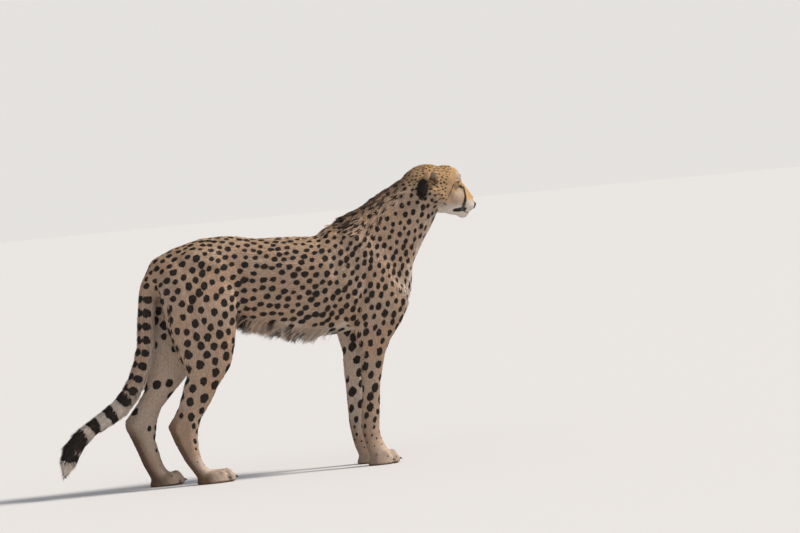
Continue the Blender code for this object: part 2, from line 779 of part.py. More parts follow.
def regions():
    """List the boxes in the order in which they take their pieces."""
    nowhere = Vector((0.0, 0.0, 0.0))
    level = Matrix.Identity(3)
    rise = HEAD_TURN @ Matrix.Rotation(radians(HEAD_LEAN), 3, "Y")
    slope = Matrix.Rotation(radians(NECK_LEAN), 3, "Y")
    found = [
        Region("nose", *NOSE_BOX, HEAD_TURN, HEAD_ORIGIN),
        Region("lower_jaw", *JAW_BOX, HEAD_TURN, HEAD_ORIGIN),
        Region("head", *HEAD_BOX, rise, HEAD_ORIGIN),
        Region("neck", *NECK_BOX, slope, nowhere),
    ]
    for side, sign in SIDES.items():
        for limb, splits in LEG_SPLITS.items():
            wedge = LEG_WEDGE[limb]
            inner, outer = sorted((0.0, sign * LEG_FAR))
            floor = BELOW_FLOOR
            for piece, top in splits:
                low = (wedge.rear, inner, floor)
                high = (wedge.front, outer, top)
                found.append(Region(f"{piece}_{side}", low, high, level, nowhere))
                floor = top
    for side, sign in SIDES.items():
        for limb, wedge in LEG_WEDGE.items():
            turn = Matrix.Rotation(radians(-wedge.lean) * sign, 3, "X")
            origin = Vector((0.0, sign * wedge.out, wedge.up))
            inner, outer = sorted((0.0, sign * WEDGE_FAR))
            low = (wedge.rear, inner, -wedge.drop)
            high = (wedge.front, outer, WEDGE_TOP)
            found.append(Region(f"{wedge.name}_{side}", low, high, turn, origin))
    return found


def part_flesh(body):
    """Take each region out of the body and leave the trunk."""
    pieces = []
    for region in regions():
        pieces.append(take(body, region))
    body.name = "trunk"
    body.data.name = "trunk"
    return pieces + [body]


def take(body, region):
    """Move what lies in a region into a piece of its own, across a thin gap."""
    inside = box("inside", region, -0.5 * GAP)
    outside = box("outside", region, 0.5 * GAP)
    piece = duplicate(body, region.name)
    boolean(piece, inside, "INTERSECT")
    boolean(body, outside, "DIFFERENCE")
    remove(inside)
    remove(outside)
    return piece


def part_tail(tail):
    """Divide the tail into four lengths, square to its axis."""
    pieces = []
    for name, k in TAIL_CUTS:
        here, ahead = TAIL[k], TAIL[k + 1]
        centre = Vector((here.x, here.y, here.z))
        along = (Vector((ahead.x, ahead.y, ahead.z)) - centre).normalized()
        turn = along.to_track_quat("X", "Z").to_matrix()
        region = Region(name, *TAIL_BOX, turn, centre)
        pieces.append(take(tail, region))
    tail.name = "tail_root"
    tail.data.name = "tail_root"
    return pieces + [tail]


# ----------------------------------------------------------------- finishes
COAT_FINISH = ("tan_coat", TAN, 0.85)
FINISHES = {
    "eye": ("amber_eye", AMBER, 0.08),
    "claw": ("dark_horn", HORN, 0.40),
    "nose": ("nose_leather", BLACK, 0.45),
    "lower_jaw": ("pale_coat", PALE, 0.85),
    "tail_tip": ("tail_tuft", PALE, 0.85),
}


def material(name, colour, roughness):
    """Return a plain Principled material."""
    made = bpy.data.materials.new(name)
    made.use_nodes = True
    shader = made.node_tree.nodes["Principled BSDF"]
    shader.inputs["Base Color"].default_value = (*colour, 1.0)
    shader.inputs["Roughness"].default_value = roughness
    shader.inputs["Metallic"].default_value = 0.0
    return made


def finish(piece):
    """Give a piece its own material, chosen by the start of its name."""
    name, colour, roughness = COAT_FINISH
    for start, look in FINISHES.items():
        if piece.name.startswith(start):
            name, colour, roughness = look
    piece.data.materials.clear()
    piece.data.materials.append(material(f"{name}_{piece.name}", colour, roughness))
    for face in piece.data.polygons:
        face.material_index = 0


def clear_scene():
    """Remove every object of the scene."""
    for old in list(bpy.data.objects):
        bpy.data.objects.remove(old)


def main():
    """Build the cheetah's pieces and set them about the origin."""
    clear_scene()
    body = flesh()
    tail = tube("tail", TAIL, TAIL_SQUARE, TAIL_STEPS, TAIL_POINTS)
    around = swollen(body, GAP)
    outer = [tail] + claws()
    for side, sign in SIDES.items():
        outer.append(pinna(f"ear_{side}", sign))
    for thing in outer:
        boolean(thing, around, "DIFFERENCE")
    remove(around)
    eyes = []
    for side, sign in SIDES.items():
        eyes.append(eyeball(f"eye_{side}", sign, EYE_RADIUS))
        socket = eyeball("socket", sign, EYE_RADIUS + GAP)
        boolean(body, socket, "DIFFERENCE")
        remove(socket)
    pieces = part_flesh(body) + part_tail(tail) + outer[1:] + eyes
    for piece in pieces:
        piece.data.transform(Matrix.Translation(ORIGIN_SHIFT))
        finish(piece)


if __name__ == "__main__":
    main()
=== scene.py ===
"""The looks of a standing cheetah: skin, coat, markings, eyes, nose and claws.

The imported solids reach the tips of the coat.  One skin is made from them and
lies inside them by the coat's depth; many thousand thin locks cover it and
follow its lie.  The markings are distances that are worked out both for the
skin and along every lock.  Lengths are metres, +X is ahead, +Z is up.
"""

import logging
import math
from dataclasses import astuple, dataclass, field, fields
from enum import Enum
from typing import Callable, Sequence

import bmesh
import bpy
import numpy as np
from mathutils import Matrix, Vector


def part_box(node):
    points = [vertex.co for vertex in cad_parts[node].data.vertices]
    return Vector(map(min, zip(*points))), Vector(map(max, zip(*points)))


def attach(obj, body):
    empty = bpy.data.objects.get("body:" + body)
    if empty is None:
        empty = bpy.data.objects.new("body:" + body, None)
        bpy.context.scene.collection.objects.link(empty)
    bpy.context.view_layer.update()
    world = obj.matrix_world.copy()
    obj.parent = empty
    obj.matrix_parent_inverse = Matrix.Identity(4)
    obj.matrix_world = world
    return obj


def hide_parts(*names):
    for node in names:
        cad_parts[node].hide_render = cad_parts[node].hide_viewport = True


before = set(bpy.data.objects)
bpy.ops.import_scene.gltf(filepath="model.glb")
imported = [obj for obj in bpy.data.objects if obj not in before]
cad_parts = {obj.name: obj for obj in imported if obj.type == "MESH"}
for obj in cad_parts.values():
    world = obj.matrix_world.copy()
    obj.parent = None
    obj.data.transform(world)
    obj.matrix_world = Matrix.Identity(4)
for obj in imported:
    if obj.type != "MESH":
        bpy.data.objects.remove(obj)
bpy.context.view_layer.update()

logging.basicConfig(level=logging.INFO, format="%(message)s")
LOG = logging.getLogger("cheetah")

Rows = np.ndarray  # of numbers, one row a point or one number a point
Point = tuple[float, float, float]
Colour = tuple[float, float, float]
MM = 0.001
SIDES = {"left": 1.0, "right": -1.0}
ORIGIN = np.array((0.0482, -0.0035, 0.0))  # of the body's own plan
HEAD_AT = np.array((0.430, 0.008, 0.850)) + ORIGIN
HEAD_YAW = math.radians(9.0)
HEAD_PITCH = math.radians(15.0)


# ------------------------------------------------------------ array helpers
def unit(rows: Rows) -> Rows:
    """Return rows scaled to length one."""
    return rows / np.maximum(np.linalg.norm(rows, axis=-1, keepdims=True), 1e-9)


def dot(a: Rows, b: Rows) -> Rows:
    """Return the row-by-row scalar product as a column of numbers."""
    return np.einsum("...i,...i->...", a, b)


def apart(points: Rows, place: Rows | Sequence) -> Rows:
    """Return how far each point lies from a place."""
    return np.linalg.norm(points - place, axis=-1)


def smooth(values: Rows, low: float, high: float) -> Rows:
    """Return 0 at low and 1 at high, eased as 3t^2 - 2t^3 between them."""
    t = np.clip((values - low) / (high - low), 0.0, 1.0)
    return t * t * (3.0 - 2.0 * t)


def bell(values: Rows, width: float) -> Rows:
    """Return exp(-(v/width)^2), a soft bump about zero."""
    return np.exp(-((values / width) ** 2))


def ripple(points: Rows, wavelength: float, seed: int) -> Rows:
    """Sum seven sine waves of random heading: a smooth noise in about -1..1.

    Args:
        points: Places, one a row.
        wavelength: Mean length of a wave.
        seed: Which set of waves.

    Returns:
        One value a point.
    """
    chance = np.random.default_rng(seed)
    heading = unit(chance.normal(size=(7, 3)))
    scale = 2.0 * math.pi / (wavelength * chance.uniform(0.6, 1.5, 7))
    phase = chance.uniform(0.0, 2.0 * math.pi, 7)
    return np.sin(points @ heading.T * scale + phase).sum(axis=1) / 2.6


def catmull(rows: Rows, steps: int) -> Rows:
    """Carry a Catmull-Rom curve through rows of numbers.

    Args:
        rows: Control rows, of any width.
        steps: Samples between two of them.

    Returns:
        The sampled rows, ends included.
    """
    padded = np.vstack([2.0 * rows[0] - rows[1], rows, 2.0 * rows[-1] - rows[-2]])
    at = np.linspace(0.0, len(rows) - 1.0, (len(rows) - 1) * steps + 1)
    k = np.minimum(at.astype(int), len(rows) - 2)
    t = (at - k)[:, None]
    a, b, c, d = padded[k], padded[k + 1], padded[k + 2], padded[k + 3]
    curve = 2.0 * b + (c - a) * t + (2.0 * a - 5.0 * b + 4.0 * c - d) * t ** 2
    return 0.5 * (curve + (3.0 * b - a - 3.0 * c + d) * t ** 3)


def mirrored(places: Rows | Sequence, side: float) -> Rows:
    """Return places of the left side as those of a side, +1 left or -1 right."""
    return np.asarray(places) * (1.0, side, 1.0)


def path_distance(points: Rows, path: Rows) -> tuple[Rows, Rows]:
    """Measure how far points lie from a chain of straight lengths.

    Args:
        points: Places, one a row.
        path: The chain's corners.

    Returns:
        The least distance of each point, and where along the chain it is, in 0..1.
    """
    best = np.full(len(points), np.inf)
    along = np.zeros(len(points))
    spans = np.linalg.norm(np.diff(path, axis=0), axis=1)
    reached = np.concatenate([[0.0], np.cumsum(spans)])
    for k, (a, b) in enumerate(zip(path[:-1], path[1:])):
        run = b - a
        t = np.clip((points - a) @ run / max(run @ run, 1e-12), 0.0, 1.0)
        gap = apart(points - a, t[:, None] * run)
        nearer = gap < best
        best = np.where(nearer, gap, best)
        along = np.where(nearer, (reached[k] + t * spans[k]) / reached[-1], along)
    return best, along


class HeadAxes:
    """The head's own axes: ahead, left and up, turned and set on the neck."""

    def __init__(self) -> None:
        """Work out the turn: nose down first, then to the left."""
        cy, sy = math.cos(HEAD_YAW), math.sin(HEAD_YAW)
        cp, sp = math.cos(HEAD_PITCH), math.sin(HEAD_PITCH)
        yaw = np.array(((cy, -sy, 0.0), (sy, cy, 0.0), (0.0, 0.0, 1.0)))
        pitch = np.array(((cp, 0.0, sp), (0.0, 1.0, 0.0), (-sp, 0.0, cp)))
        self.turn = yaw @ pitch

    def world(self, local: Rows | Sequence) -> Rows:
        """Return places given in the head's axes as places of the model."""
        return HEAD_AT + np.asarray(local, float) @ self.turn.T

    def local(self, points: Rows) -> Rows:
        """Return places of the model in the head's axes."""
        return (points - HEAD_AT) @ self.turn

    def aim(self, direction: Rows | Sequence) -> Rows:
        """Return a direction given in the head's axes as one of the model."""
        return np.asarray(direction, float) @ self.turn.T


HEAD = HeadAxes()


# -------------------------------------------------------------- mesh helpers
def mesh_object(name: str, points: Rows, faces: Rows, even: bool = True) -> bpy.types.Object:
    """Put rows of points and faces of equal size in a new object.

    Args:
        name: The piece's name.
        points: Vertex places.
        faces: Vertex numbers, three or four a row.
        even: Whether faces are shaded smooth.

    Returns:
        The linked object, at the origin.
    """
    mesh = bpy.data.meshes.new(name)
    count, size = faces.shape
    mesh.vertices.add(len(points))
    mesh.vertices.foreach_set("co", np.ascontiguousarray(points, np.float32).ravel())
    mesh.loops.add(count * size)
    mesh.loops.foreach_set("vertex_index", np.ascontiguousarray(faces, np.int32).ravel())
    mesh.polygons.add(count)
    mesh.polygons.foreach_set("loop_start", np.arange(0, count * size, size, dtype=np.int32))
    mesh.polygons.foreach_set("use_smooth", np.full(count, even))
    mesh.update(calc_edges=True)
    thing = bpy.data.objects.new(name, mesh)
    bpy.context.scene.collection.objects.link(thing)
    return thing


def points_of(mesh: bpy.types.Mesh) -> Rows:
    """Return a mesh's vertex places, one a row."""
    rows = np.empty(len(mesh.vertices) * 3, np.float32)
    mesh.vertices.foreach_get("co", rows)
    return rows.reshape(-1, 3).astype(float)


def triangles_of(mesh: bpy.types.Mesh) -> Rows:
    """Return a mesh's triangles as rows of three vertex numbers."""
    mesh.calc_loop_triangles()
    rows = np.empty(len(mesh.loop_triangles) * 3, np.int32)
    mesh.loop_triangles.foreach_get("vertices", rows)
    return rows.reshape(-1, 3)


def settle(thing: bpy.types.Object) -> None:
    """Replace an object's mesh by what its modifiers make of it."""
    graph = bpy.context.evaluated_depsgraph_get()
    mesh = bpy.data.meshes.new_from_object(thing.evaluated_get(graph))
    old = thing.data
    thing.modifiers.clear()
    thing.data = mesh
    mesh.name = thing.name
    bpy.data.meshes.remove(old)


def store(mesh: bpy.types.Mesh, name: str, values: Rows) -> None:
    """Keep one number a vertex as a named attribute."""
    layer = mesh.attributes.new(name, "FLOAT", "POINT")
    layer.data.foreach_set("value", np.ascontiguousarray(values, np.float32))


def crosses(points: Rows, triangles: Rows) -> Rows:
    """Return each triangle's normal, as long as twice its area."""
    a, b, c = points[triangles].transpose(1, 0, 2)
    return np.cross(b - a, c - a)


def dress(
    piece: bpy.types.Object, finish: bpy.types.Material, solids: Sequence[str] = ()
) -> bpy.types.Object:
    """Give a piece its finish, ride it on the body and report it.

    Args:
        piece: The piece.
        finish: Its material.
        solids: The solids that it replaces.

    Returns:
        The piece.
    """
    piece.data.materials.append(finish)
    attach(piece, "root")
    if solids:
        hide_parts(*solids)
    LOG.info("%s: %d triangles", piece.name, len(piece.data.polygons))
    return piece


def vertex_normals(points: Rows, triangles: Rows) -> Rows:
    """Return vertex normals: the area-weighted mean of the triangles round each."""
    face = crosses(points, triangles)
    total = np.zeros_like(points)
    for k in range(3):
        for axis in range(3):
            total[:, axis] += np.bincount(triangles[:, k], face[:, axis], len(points))
    return unit(total)


@dataclass
class Web:
    """Which vertices neighbour each other, for averaging over a surface."""

    count: int
    one: Rows
    two: Rows

    @classmethod
    def of(cls, mesh: bpy.types.Mesh) -> "Web":
        """Read the web from a mesh's edges."""
        pairs = np.empty(len(mesh.edges) * 2, np.int32)
        mesh.edges.foreach_get("vertices", pairs)
        pairs = pairs.reshape(-1, 2)
        one = np.concatenate([pairs[:, 0], pairs[:, 1]])
        two = np.concatenate([pairs[:, 1], pairs[:, 0]])
        return cls(len(mesh.vertices), one, two)

    def mean(self, values: Rows) -> Rows:
        """Return the mean of each vertex's neighbours, column by column."""
        table = values.reshape(self.count, -1)
        degree = np.maximum(np.bincount(self.one, minlength=self.count), 1)
        columns = [
            np.bincount(self.one, table[self.two, k], self.count) / degree
            for k in range(table.shape[1])
        ]
        return np.stack(columns, axis=1).reshape(values.shape)

    def soften(self, values: Rows, times: int, pull: float = 0.5) -> Rows:
        """Move values towards their neighbours' mean, several times."""
        for _ in range(times):
            values = values + pull * (self.mean(values) - values)
        return values

    def fair(self, points: Rows, times: int, freedom: Rows) -> Rows:
        """Smooth places without shrinking: a step in, then a slightly longer step out.

        Args:
            points: Places to smooth.
            times: Pairs of steps.
            freedom: How much each vertex may move, 0 to 1.

        Returns:
            The smoothed places.
        """
        for _ in range(times):
            for pull in (0.50, -0.53):
                points = points + (pull * freedom)[:, None] * (self.mean(points) - points)
        return points


# ------------------------------------------------------------------ the coat
@dataclass(frozen=True)
class Coat:
    """How the coat is in one place; millimetres.

    Attributes:
        depth: From the skin to the tips that lie on top.
        length: Of a lock.
        width: Of a lock.
        lift: Height of a lock's tip over the skin.
        spot: Radius of a spot.
        gap: From spot to spot.
        stretch: Length of a spot over its breadth.
    """

    depth: float
    length: float
    width: float
    lift: float
    spot: float
    gap: float
    stretch: float

    def row(self) -> Rows:
        """Return the numbers as one row."""
        return np.array(astuple(self))


DEPTH, LENGTH, WIDTH, LIFT, SPOT, GAP, STRETCH = range(7)  # the columns of a coat's row


class Pelt(Enum):
    """The kinds of coat over the body."""

    MUZZLE = Coat(1.2, 4.0, 1.1, 0.9, 0.1, 16.0, 1.0)
    FACE = Coat(2.2, 7.0, 1.5, 1.7, 2.8, 13.5, 1.4)
    EAR = Coat(1.6, 6.0, 1.3, 1.3, 0.1, 40.0, 1.0)
    CROWN = Coat(3.0, 9.0, 1.8, 2.6, 3.6, 13.5, 1.2)
    NAPE = Coat(5.0, 14.0, 2.4, 4.2, 8.6, 30.0, 1.2)
    SHOULDER = Coat(4.8, 15.0, 2.6, 4.0, 9.4, 29.5, 1.4)
    FLANK = Coat(4.8, 17.0, 2.7, 3.8, 10.2, 32.0, 1.2)
    RUMP = Coat(4.6, 15.0, 2.8, 3.4, 11.2, 34.5, 1.15)
    SEAT = Coat(4.0, 14.0, 2.7, 3.0, 9.8, 33.0, 1.1)
    CHEST = Coat(6.0, 18.0, 2.8, 4.6, 9.8, 32.0, 1.4)
    ARM = Coat(3.8, 13.0, 2.6, 3.2, 10.6, 32.0, 1.4)
    FOREARM = Coat(3.2, 11.5, 2.4, 3.0, 13.0, 44.0, 1.4)
    WRIST = Coat(2.6, 9.5, 2.1, 2.4, 6.4, 27.0, 1.5)
    PAW = Coat(2.2, 6.2, 1.6, 1.3, 2.6, 24.0, 1.1)
    THIGH = Coat(4.0, 14.0, 2.8, 3.2, 12.8, 39.0, 1.15)
    SHANK = Coat(3.2, 12.0, 2.5, 2.8, 14.2, 49.0, 1.2)
    HOCK = Coat(2.8, 9.5, 2.2, 2.3, 8.8, 29.0, 1.4)
    BRUSH = Coat(5.5, 20.0, 2.8, 6.0, 8.0, 34.0, 1.0)
    TUFT = Coat(9.0, 34.0, 3.2, 10.0, 8.0, 34.0, 1.0)


class Limb(Enum):
    """The chains of the body; each unrolls on a strip of its own."""

    HEAD = "head"
    NECK = "neck"
    TRUNK = "trunk"
    FORE_LEFT = "fore_left"
    FORE_RIGHT = "fore_right"
    HIND_LEFT = "hind_left"
    HIND_RIGHT = "hind_right"
    TAIL = "tail"


@dataclass(frozen=True)
class Joint:
    """A place on the axis of a limb, with the flesh's radius and its coat."""

    at: Point
    radius: float
    pelt: Pelt


def fore_chain(side: float) -> list[Joint]:
    """Return a foreleg's axis; the left one stands a little further back."""
    plan = (
        (0.250, 0.070, 0.640, 0.055, Pelt.SHOULDER),
        (0.285, 0.072, 0.530, 0.060, Pelt.ARM),
        (0.280, 0.071, 0.440, 0.048, Pelt.ARM),
        (0.262, 0.066, 0.360, 0.036, Pelt.FOREARM),
        (0.253, 0.064, 0.300, 0.032, Pelt.FOREARM),
        (0.240, 0.062, 0.206, 0.028, Pelt.FOREARM),
        (0.232, 0.062, 0.116, 0.027, Pelt.WRIST),
        (0.240, 0.062, 0.066, 0.030, Pelt.PAW),
        (0.262, 0.062, 0.030, 0.030, Pelt.PAW),
        (0.312, 0.062, 0.016, 0.022, Pelt.PAW),
    )
    lag = np.interp([row[2] for row in plan], (0.100, 0.300), (-0.009, -0.028))
    if side < 0.0:
        lag = np.zeros(len(plan))
    return [Joint((x + back, side * y, z), r, pelt) for (x, y, z, r, pelt), back in zip(plan, lag)]


def hind_chain(side: float) -> list[Joint]:
    """Return a hind leg's axis; the right one stands further forward."""
    heights = (0.660, 0.590, 0.520, 0.450, 0.361, 0.306, 0.245, 0.205, 0.140, 0.072, 0.030, 0.015)
    right = (-0.290, -0.286, -0.283, -0.283, -0.279, -0.309, -0.345, -0.372, -0.368, -0.349, -0.318, -0.236)
    left = (-0.300, -0.309, -0.322, -0.338, -0.377, -0.413, -0.467, -0.487, -0.481, -0.461, -0.440, -0.376)
    across = (0.058, 0.063, 0.068, 0.070, 0.068, 0.066, 0.065, 0.065, 0.065, 0.065, 0.065, 0.065)
    radii = (0.075, 0.075, 0.072, 0.062, 0.050, 0.040, 0.033, 0.030, 0.028, 0.027, 0.030, 0.022)
    pelts = (
        Pelt.RUMP, Pelt.THIGH, Pelt.THIGH, Pelt.THIGH, Pelt.SHANK, Pelt.SHANK,
        Pelt.SHANK, Pelt.HOCK, Pelt.HOCK, Pelt.PAW, Pelt.PAW, Pelt.PAW,
    )
    ahead = left if side > 0.0 else right
    rows = zip(ahead, across, heights, radii, pelts)
    return [Joint((x, side * y, z), r, pelt) for x, y, z, r, pelt in rows]


def tail_chain() -> list[Joint]:
    """Return the tail's axis, from the rump to the tip."""
    plan = (
        (-0.375, 0.700, Pelt.RUMP), (-0.424, 0.655, Pelt.SEAT), (-0.440, 0.600, Pelt.SEAT),
        (-0.450, 0.540, Pelt.BRUSH), (-0.459, 0.456, Pelt.BRUSH), (-0.475, 0.400, Pelt.BRUSH),
        (-0.497, 0.350, Pelt.BRUSH), (-0.524, 0.306, Pelt.BRUSH), (-0.558, 0.269, Pelt.BRUSH),
        (-0.604, 0.240, Pelt.BRUSH), (-0.652, 0.214, Pelt.TUFT), (-0.695, 0.184, Pelt.TUFT),
        (-0.724, 0.152, Pelt.TUFT), (-0.740, 0.120, Pelt.TUFT), (-0.755, 0.080, Pelt.TUFT),
    )
    return [Joint((x, 0.0, z), 0.030, pelt) for x, z, pelt in plan]


class Skeleton:
    """The axes of the body, which say how the coat lies and what it is like.

    Attributes:
        SHARPNESS: How fast a length of axis loses its say with distance.
        chains: The joints of each limb's axis.
    """

    SHARPNESS = 7.0

    def __init__(self) -> None:
        """List each limb's axis from where its coat starts."""
        head = [Joint(tuple(HEAD.world(p) - ORIGIN), r, pelt) for p, r, pelt in (
            ((0.232, 0.0, 0.012), 0.026, Pelt.MUZZLE),
            ((0.196, 0.0, 0.024), 0.040, Pelt.MUZZLE),
            ((0.150, 0.0, 0.045), 0.060, Pelt.FACE),
            ((0.085, 0.0, 0.050), 0.070, Pelt.CROWN),
            ((0.035, 0.0, 0.045), 0.070, Pelt.CROWN),
        )]
        self.chains: dict[Limb, list[Joint]] = {
            Limb.HEAD: head,
            Limb.NECK: [
                Joint((0.466, 0.013, 0.836), 0.066, Pelt.NAPE),
                Joint((0.400, 0.005, 0.780), 0.085, Pelt.NAPE),
                Joint((0.340, 0.001, 0.725), 0.098, Pelt.NAPE),
                Joint((0.300, 0.000, 0.660), 0.110, Pelt.SHOULDER),
            ],
            Limb.TRUNK: [
                Joint((0.330, 0.0, 0.600), 0.105, Pelt.CHEST),
                Joint((0.235, 0.0, 0.620), 0.130, Pelt.SHOULDER),
                Joint((0.100, 0.0, 0.605), 0.140, Pelt.FLANK),
                Joint((-0.050, 0.0, 0.625), 0.130, Pelt.FLANK),
                Joint((-0.190, 0.0, 0.655), 0.110, Pelt.RUMP),
                Joint((-0.320, 0.0, 0.665), 0.095, Pelt.RUMP),
                Joint((-0.415, 0.0, 0.668), 0.055, Pelt.SEAT),
            ],
            Limb.TAIL: tail_chain(),
        }
        for name, side in SIDES.items():
            self.chains[Limb(f"fore_{name}")] = fore_chain(side)
            self.chains[Limb(f"hind_{name}")] = hind_chain(side)

    def axis(self, limb: Limb) -> Rows:
        """Return a limb's corners as places of the model."""
        return np.array([joint.at for joint in self.chains[limb]]) + ORIGIN

    def read(self, points: Rows) -> "Lay":
        """Blend what the axes say at many points.

        Each length of axis weighs exp(-SHARPNESS (q - q0)), where q is the distance
        over the flesh's radius there and q0 is the least q of all lengths.

        Args:
            points: Places on the skin.

        Returns:
            The coat and its lie at each of them.
        """
        rows: list[tuple] = []
        for number, limb in enumerate(Limb):
            joints, axis = self.chains[limb], self.axis(limb)
            for k in range(len(joints) - 1):
                run = axis[k + 1] - axis[k]
                t = np.clip((points - axis[k]) @ run / (run @ run), 0.0, 1.0)
                away = points - axis[k] - t[:, None] * run
                radius = joints[k].radius + t * (joints[k + 1].radius - joints[k].radius)
                first, second = joints[k].pelt.value.row(), joints[k + 1].pelt.value.row()
                traits = first + t[:, None] * (second - first)
                about = np.arctan2(away[:, 1], away @ np.cross(unit(run), (0.0, 1.0, 0.0)))
                along = (k + t) / (len(joints) - 1)
                rows.append((np.linalg.norm(away, axis=1) / radius, traits, unit(run), number, along, about))
        ratios, traits, ways, numbers, alongs, abouts = zip(*rows)
        ratios = np.stack(ratios)
        weights = np.exp(-self.SHARPNESS * (ratios - ratios.min(axis=0)))
        weights /= weights.sum(axis=0)
        traits, lie = (sum(w[:, None] * part for w, part in zip(weights, parts)) for parts in (traits, ways))
        nearest, each = ratios.argmin(axis=0), np.arange(len(points))
        along, about = (np.stack(parts)[nearest, each] for parts in (alongs, abouts))
        return Lay(traits, lie, np.array(numbers)[nearest], along, about)


@dataclass
class Lay:
    """The coat at many points: traits, lie, limb, and place along and about it."""

    traits: Rows
    lie: Rows
    limb: Rows
    along: Rows
    about: Rows

    def with_more(self, other: "Lay") -> "Lay":
        """Return this and another one joined."""
        return Lay(*(np.concatenate([getattr(part, f.name) for part in (self, other)]) for f in fields(self)))

    def on(self, limb: Limb) -> Rows:
        """Return which points belong to a limb."""
        return self.limb == list(Limb).index(limb)


SKELETON = Skeleton()


# ------------------------------------------------------------ relief and skin
@dataclass(frozen=True)
class Crease:
    """A fold or swelling along a path on the skin, the same on both sides.

    Attributes:
        path: Corners ahead, outward and up, in the body's plan.
        depth: How far it sinks; negative raises it.
        width: Half width of its bell-shaped section.
        local: Whether the path is in the head's axes.
    """

    path: tuple[Point, ...]
    depth: float
    width: float
    local: bool = False

    def press(self, points: Rows, normals: Rows) -> Rows:
        """Return how far each point moves for this fold on both sides."""
        move = np.zeros_like(points)
        for side in SIDES.values():
            corners = mirrored(self.path, side)
            path = HEAD.world(corners) if self.local else corners + ORIGIN
            move += fold(points, normals, path, self.depth, self.width)
            if all(abs(corner[1]) < 1e-9 for corner in self.path):
                break
        return move


def fold(points: Rows, normals: Rows, path: Rows, depth: float, width: float) -> Rows:
    """Return how far points move: inward by depth times exp(-(distance/width)^2).

    Args:
        points: Places on the skin.
        normals: Their normals.
        path: The fold's corners in the model.
        depth: How far it sinks; negative raises it.
        width: Half width of its section.

    Returns:
        One move a point; it fades out at the path's ends.
    """
    if len(path) > 2:
        path = catmull(path, 4)
    gap, along = path_distance(points, path)
    ends = smooth(along, -0.15, 0.2) * smooth(-along, -1.15, -0.8)
    return -(depth * bell(gap, width) * ends)[:, None] * normals


def press_toes(points: Rows, normals: Rows) -> Rows:
    """Return how far the skin moves for the furrows between the toes and their knuckles.

    The claws' own boxes say where each toe ends.

    Args:
        points: Places on the skin.
        normals: Their normals.

    Returns:
        One move a point.
    """
    move = np.zeros_like(points)
    low = points[:, 2] < 0.07
    for foot in FEET:
        boxes = [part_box(f"claw_{foot}_{k}") for k in range(1, 5)]
        tips = sorted(((low_at[1] + high_at[1]) * 0.5, high_at[0]) for low_at, high_at in boxes)
        for (y_one, x_one), (y_two, x_two) in zip(tips[:-1], tips[1:]):
            x, y = min(x_one, x_two) - 0.010, 0.5 * (y_one + y_two)
            path = np.array((
                (x + 0.006, y, 0.004), (x + 0.002, y, 0.018), (x - 0.012, y, 0.033), (x - 0.040, y, 0.047),
            ))
            move[low] += fold(points[low], normals[low], path, 0.0115, 0.0048)
        for y, x in tips:
            knuckle = apart(points[low], (x - 0.030, y, 0.040))
            move[low] += 0.0050 * bell(knuckle, 0.011)[:, None] * normals[low]
            pad = apart(points[low], (x - 0.008, y, 0.016))
            move[low] += 0.0022 * bell(pad, 0.009)[:, None] * normals[low]
    return move


FEET = ("fore_left", "fore_right", "hind_left", "hind_right")
BODY_RELIEF = (
    Crease(((0.165, 0.10, 0.700), (0.150, 0.10, 0.600), (0.140, 0.10, 0.500)), 0.0030, 0.018),
    Crease(
        ((0.275, 0.10, 0.640), (0.248, 0.11, 0.570), (0.222, 0.11, 0.500), (0.205, 0.10, 0.440)),
        0.0130, 0.012,
    ),
    Crease(
        ((0.262, 0.083, 0.726), (0.303, 0.088, 0.672), (0.345, 0.082, 0.604), (0.366, 0.084, 0.560)),
        0.0036, 0.024,
    ),
    Crease(((-0.155, 0.09, 0.700), (-0.145, 0.09, 0.620), (-0.150, 0.09, 0.540)), 0.0060, 0.016),
    Crease(((-0.200, 0.09, 0.720), (-0.250, 0.09, 0.700), (-0.310, 0.09, 0.700)), -0.0040, 0.022),
    Crease(((-0.330, 0.09, 0.640), (-0.320, 0.11, 0.560), (-0.325, 0.11, 0.470)), 0.0035, 0.013),
    Crease(((-0.100, 0.09, 0.700), (0.000, 0.10, 0.690), (0.100, 0.11, 0.690)), 0.0025, 0.025),
    # the chest between the neck and the forelegs
    Crease(
        ((0.415, 0.0, 0.690), (0.402, 0.0, 0.620), (0.385, 0.0, 0.560), (0.345, 0.0, 0.480)),
        -0.0150, 0.055,
    ),
    Crease(
        ((0.425, 0.0, 0.760), (0.395, 0.0, 0.700), (0.372, 0.0, 0.640), (0.340, 0.0, 0.560)),
        -0.0085, 0.050,
    ),
    Crease(((0.060, 0.12, 0.660), (0.030, 0.12, 0.580), (0.020, 0.11, 0.520)), -0.0018, 0.010),
    Crease(((0.100, 0.12, 0.660), (0.072, 0.12, 0.580), (0.062, 0.11, 0.500)), -0.0018, 0.010),
    Crease(((0.018, 0.12, 0.665), (-0.012, 0.12, 0.590), (-0.022, 0.11, 0.530)), -0.0018, 0.010),
)
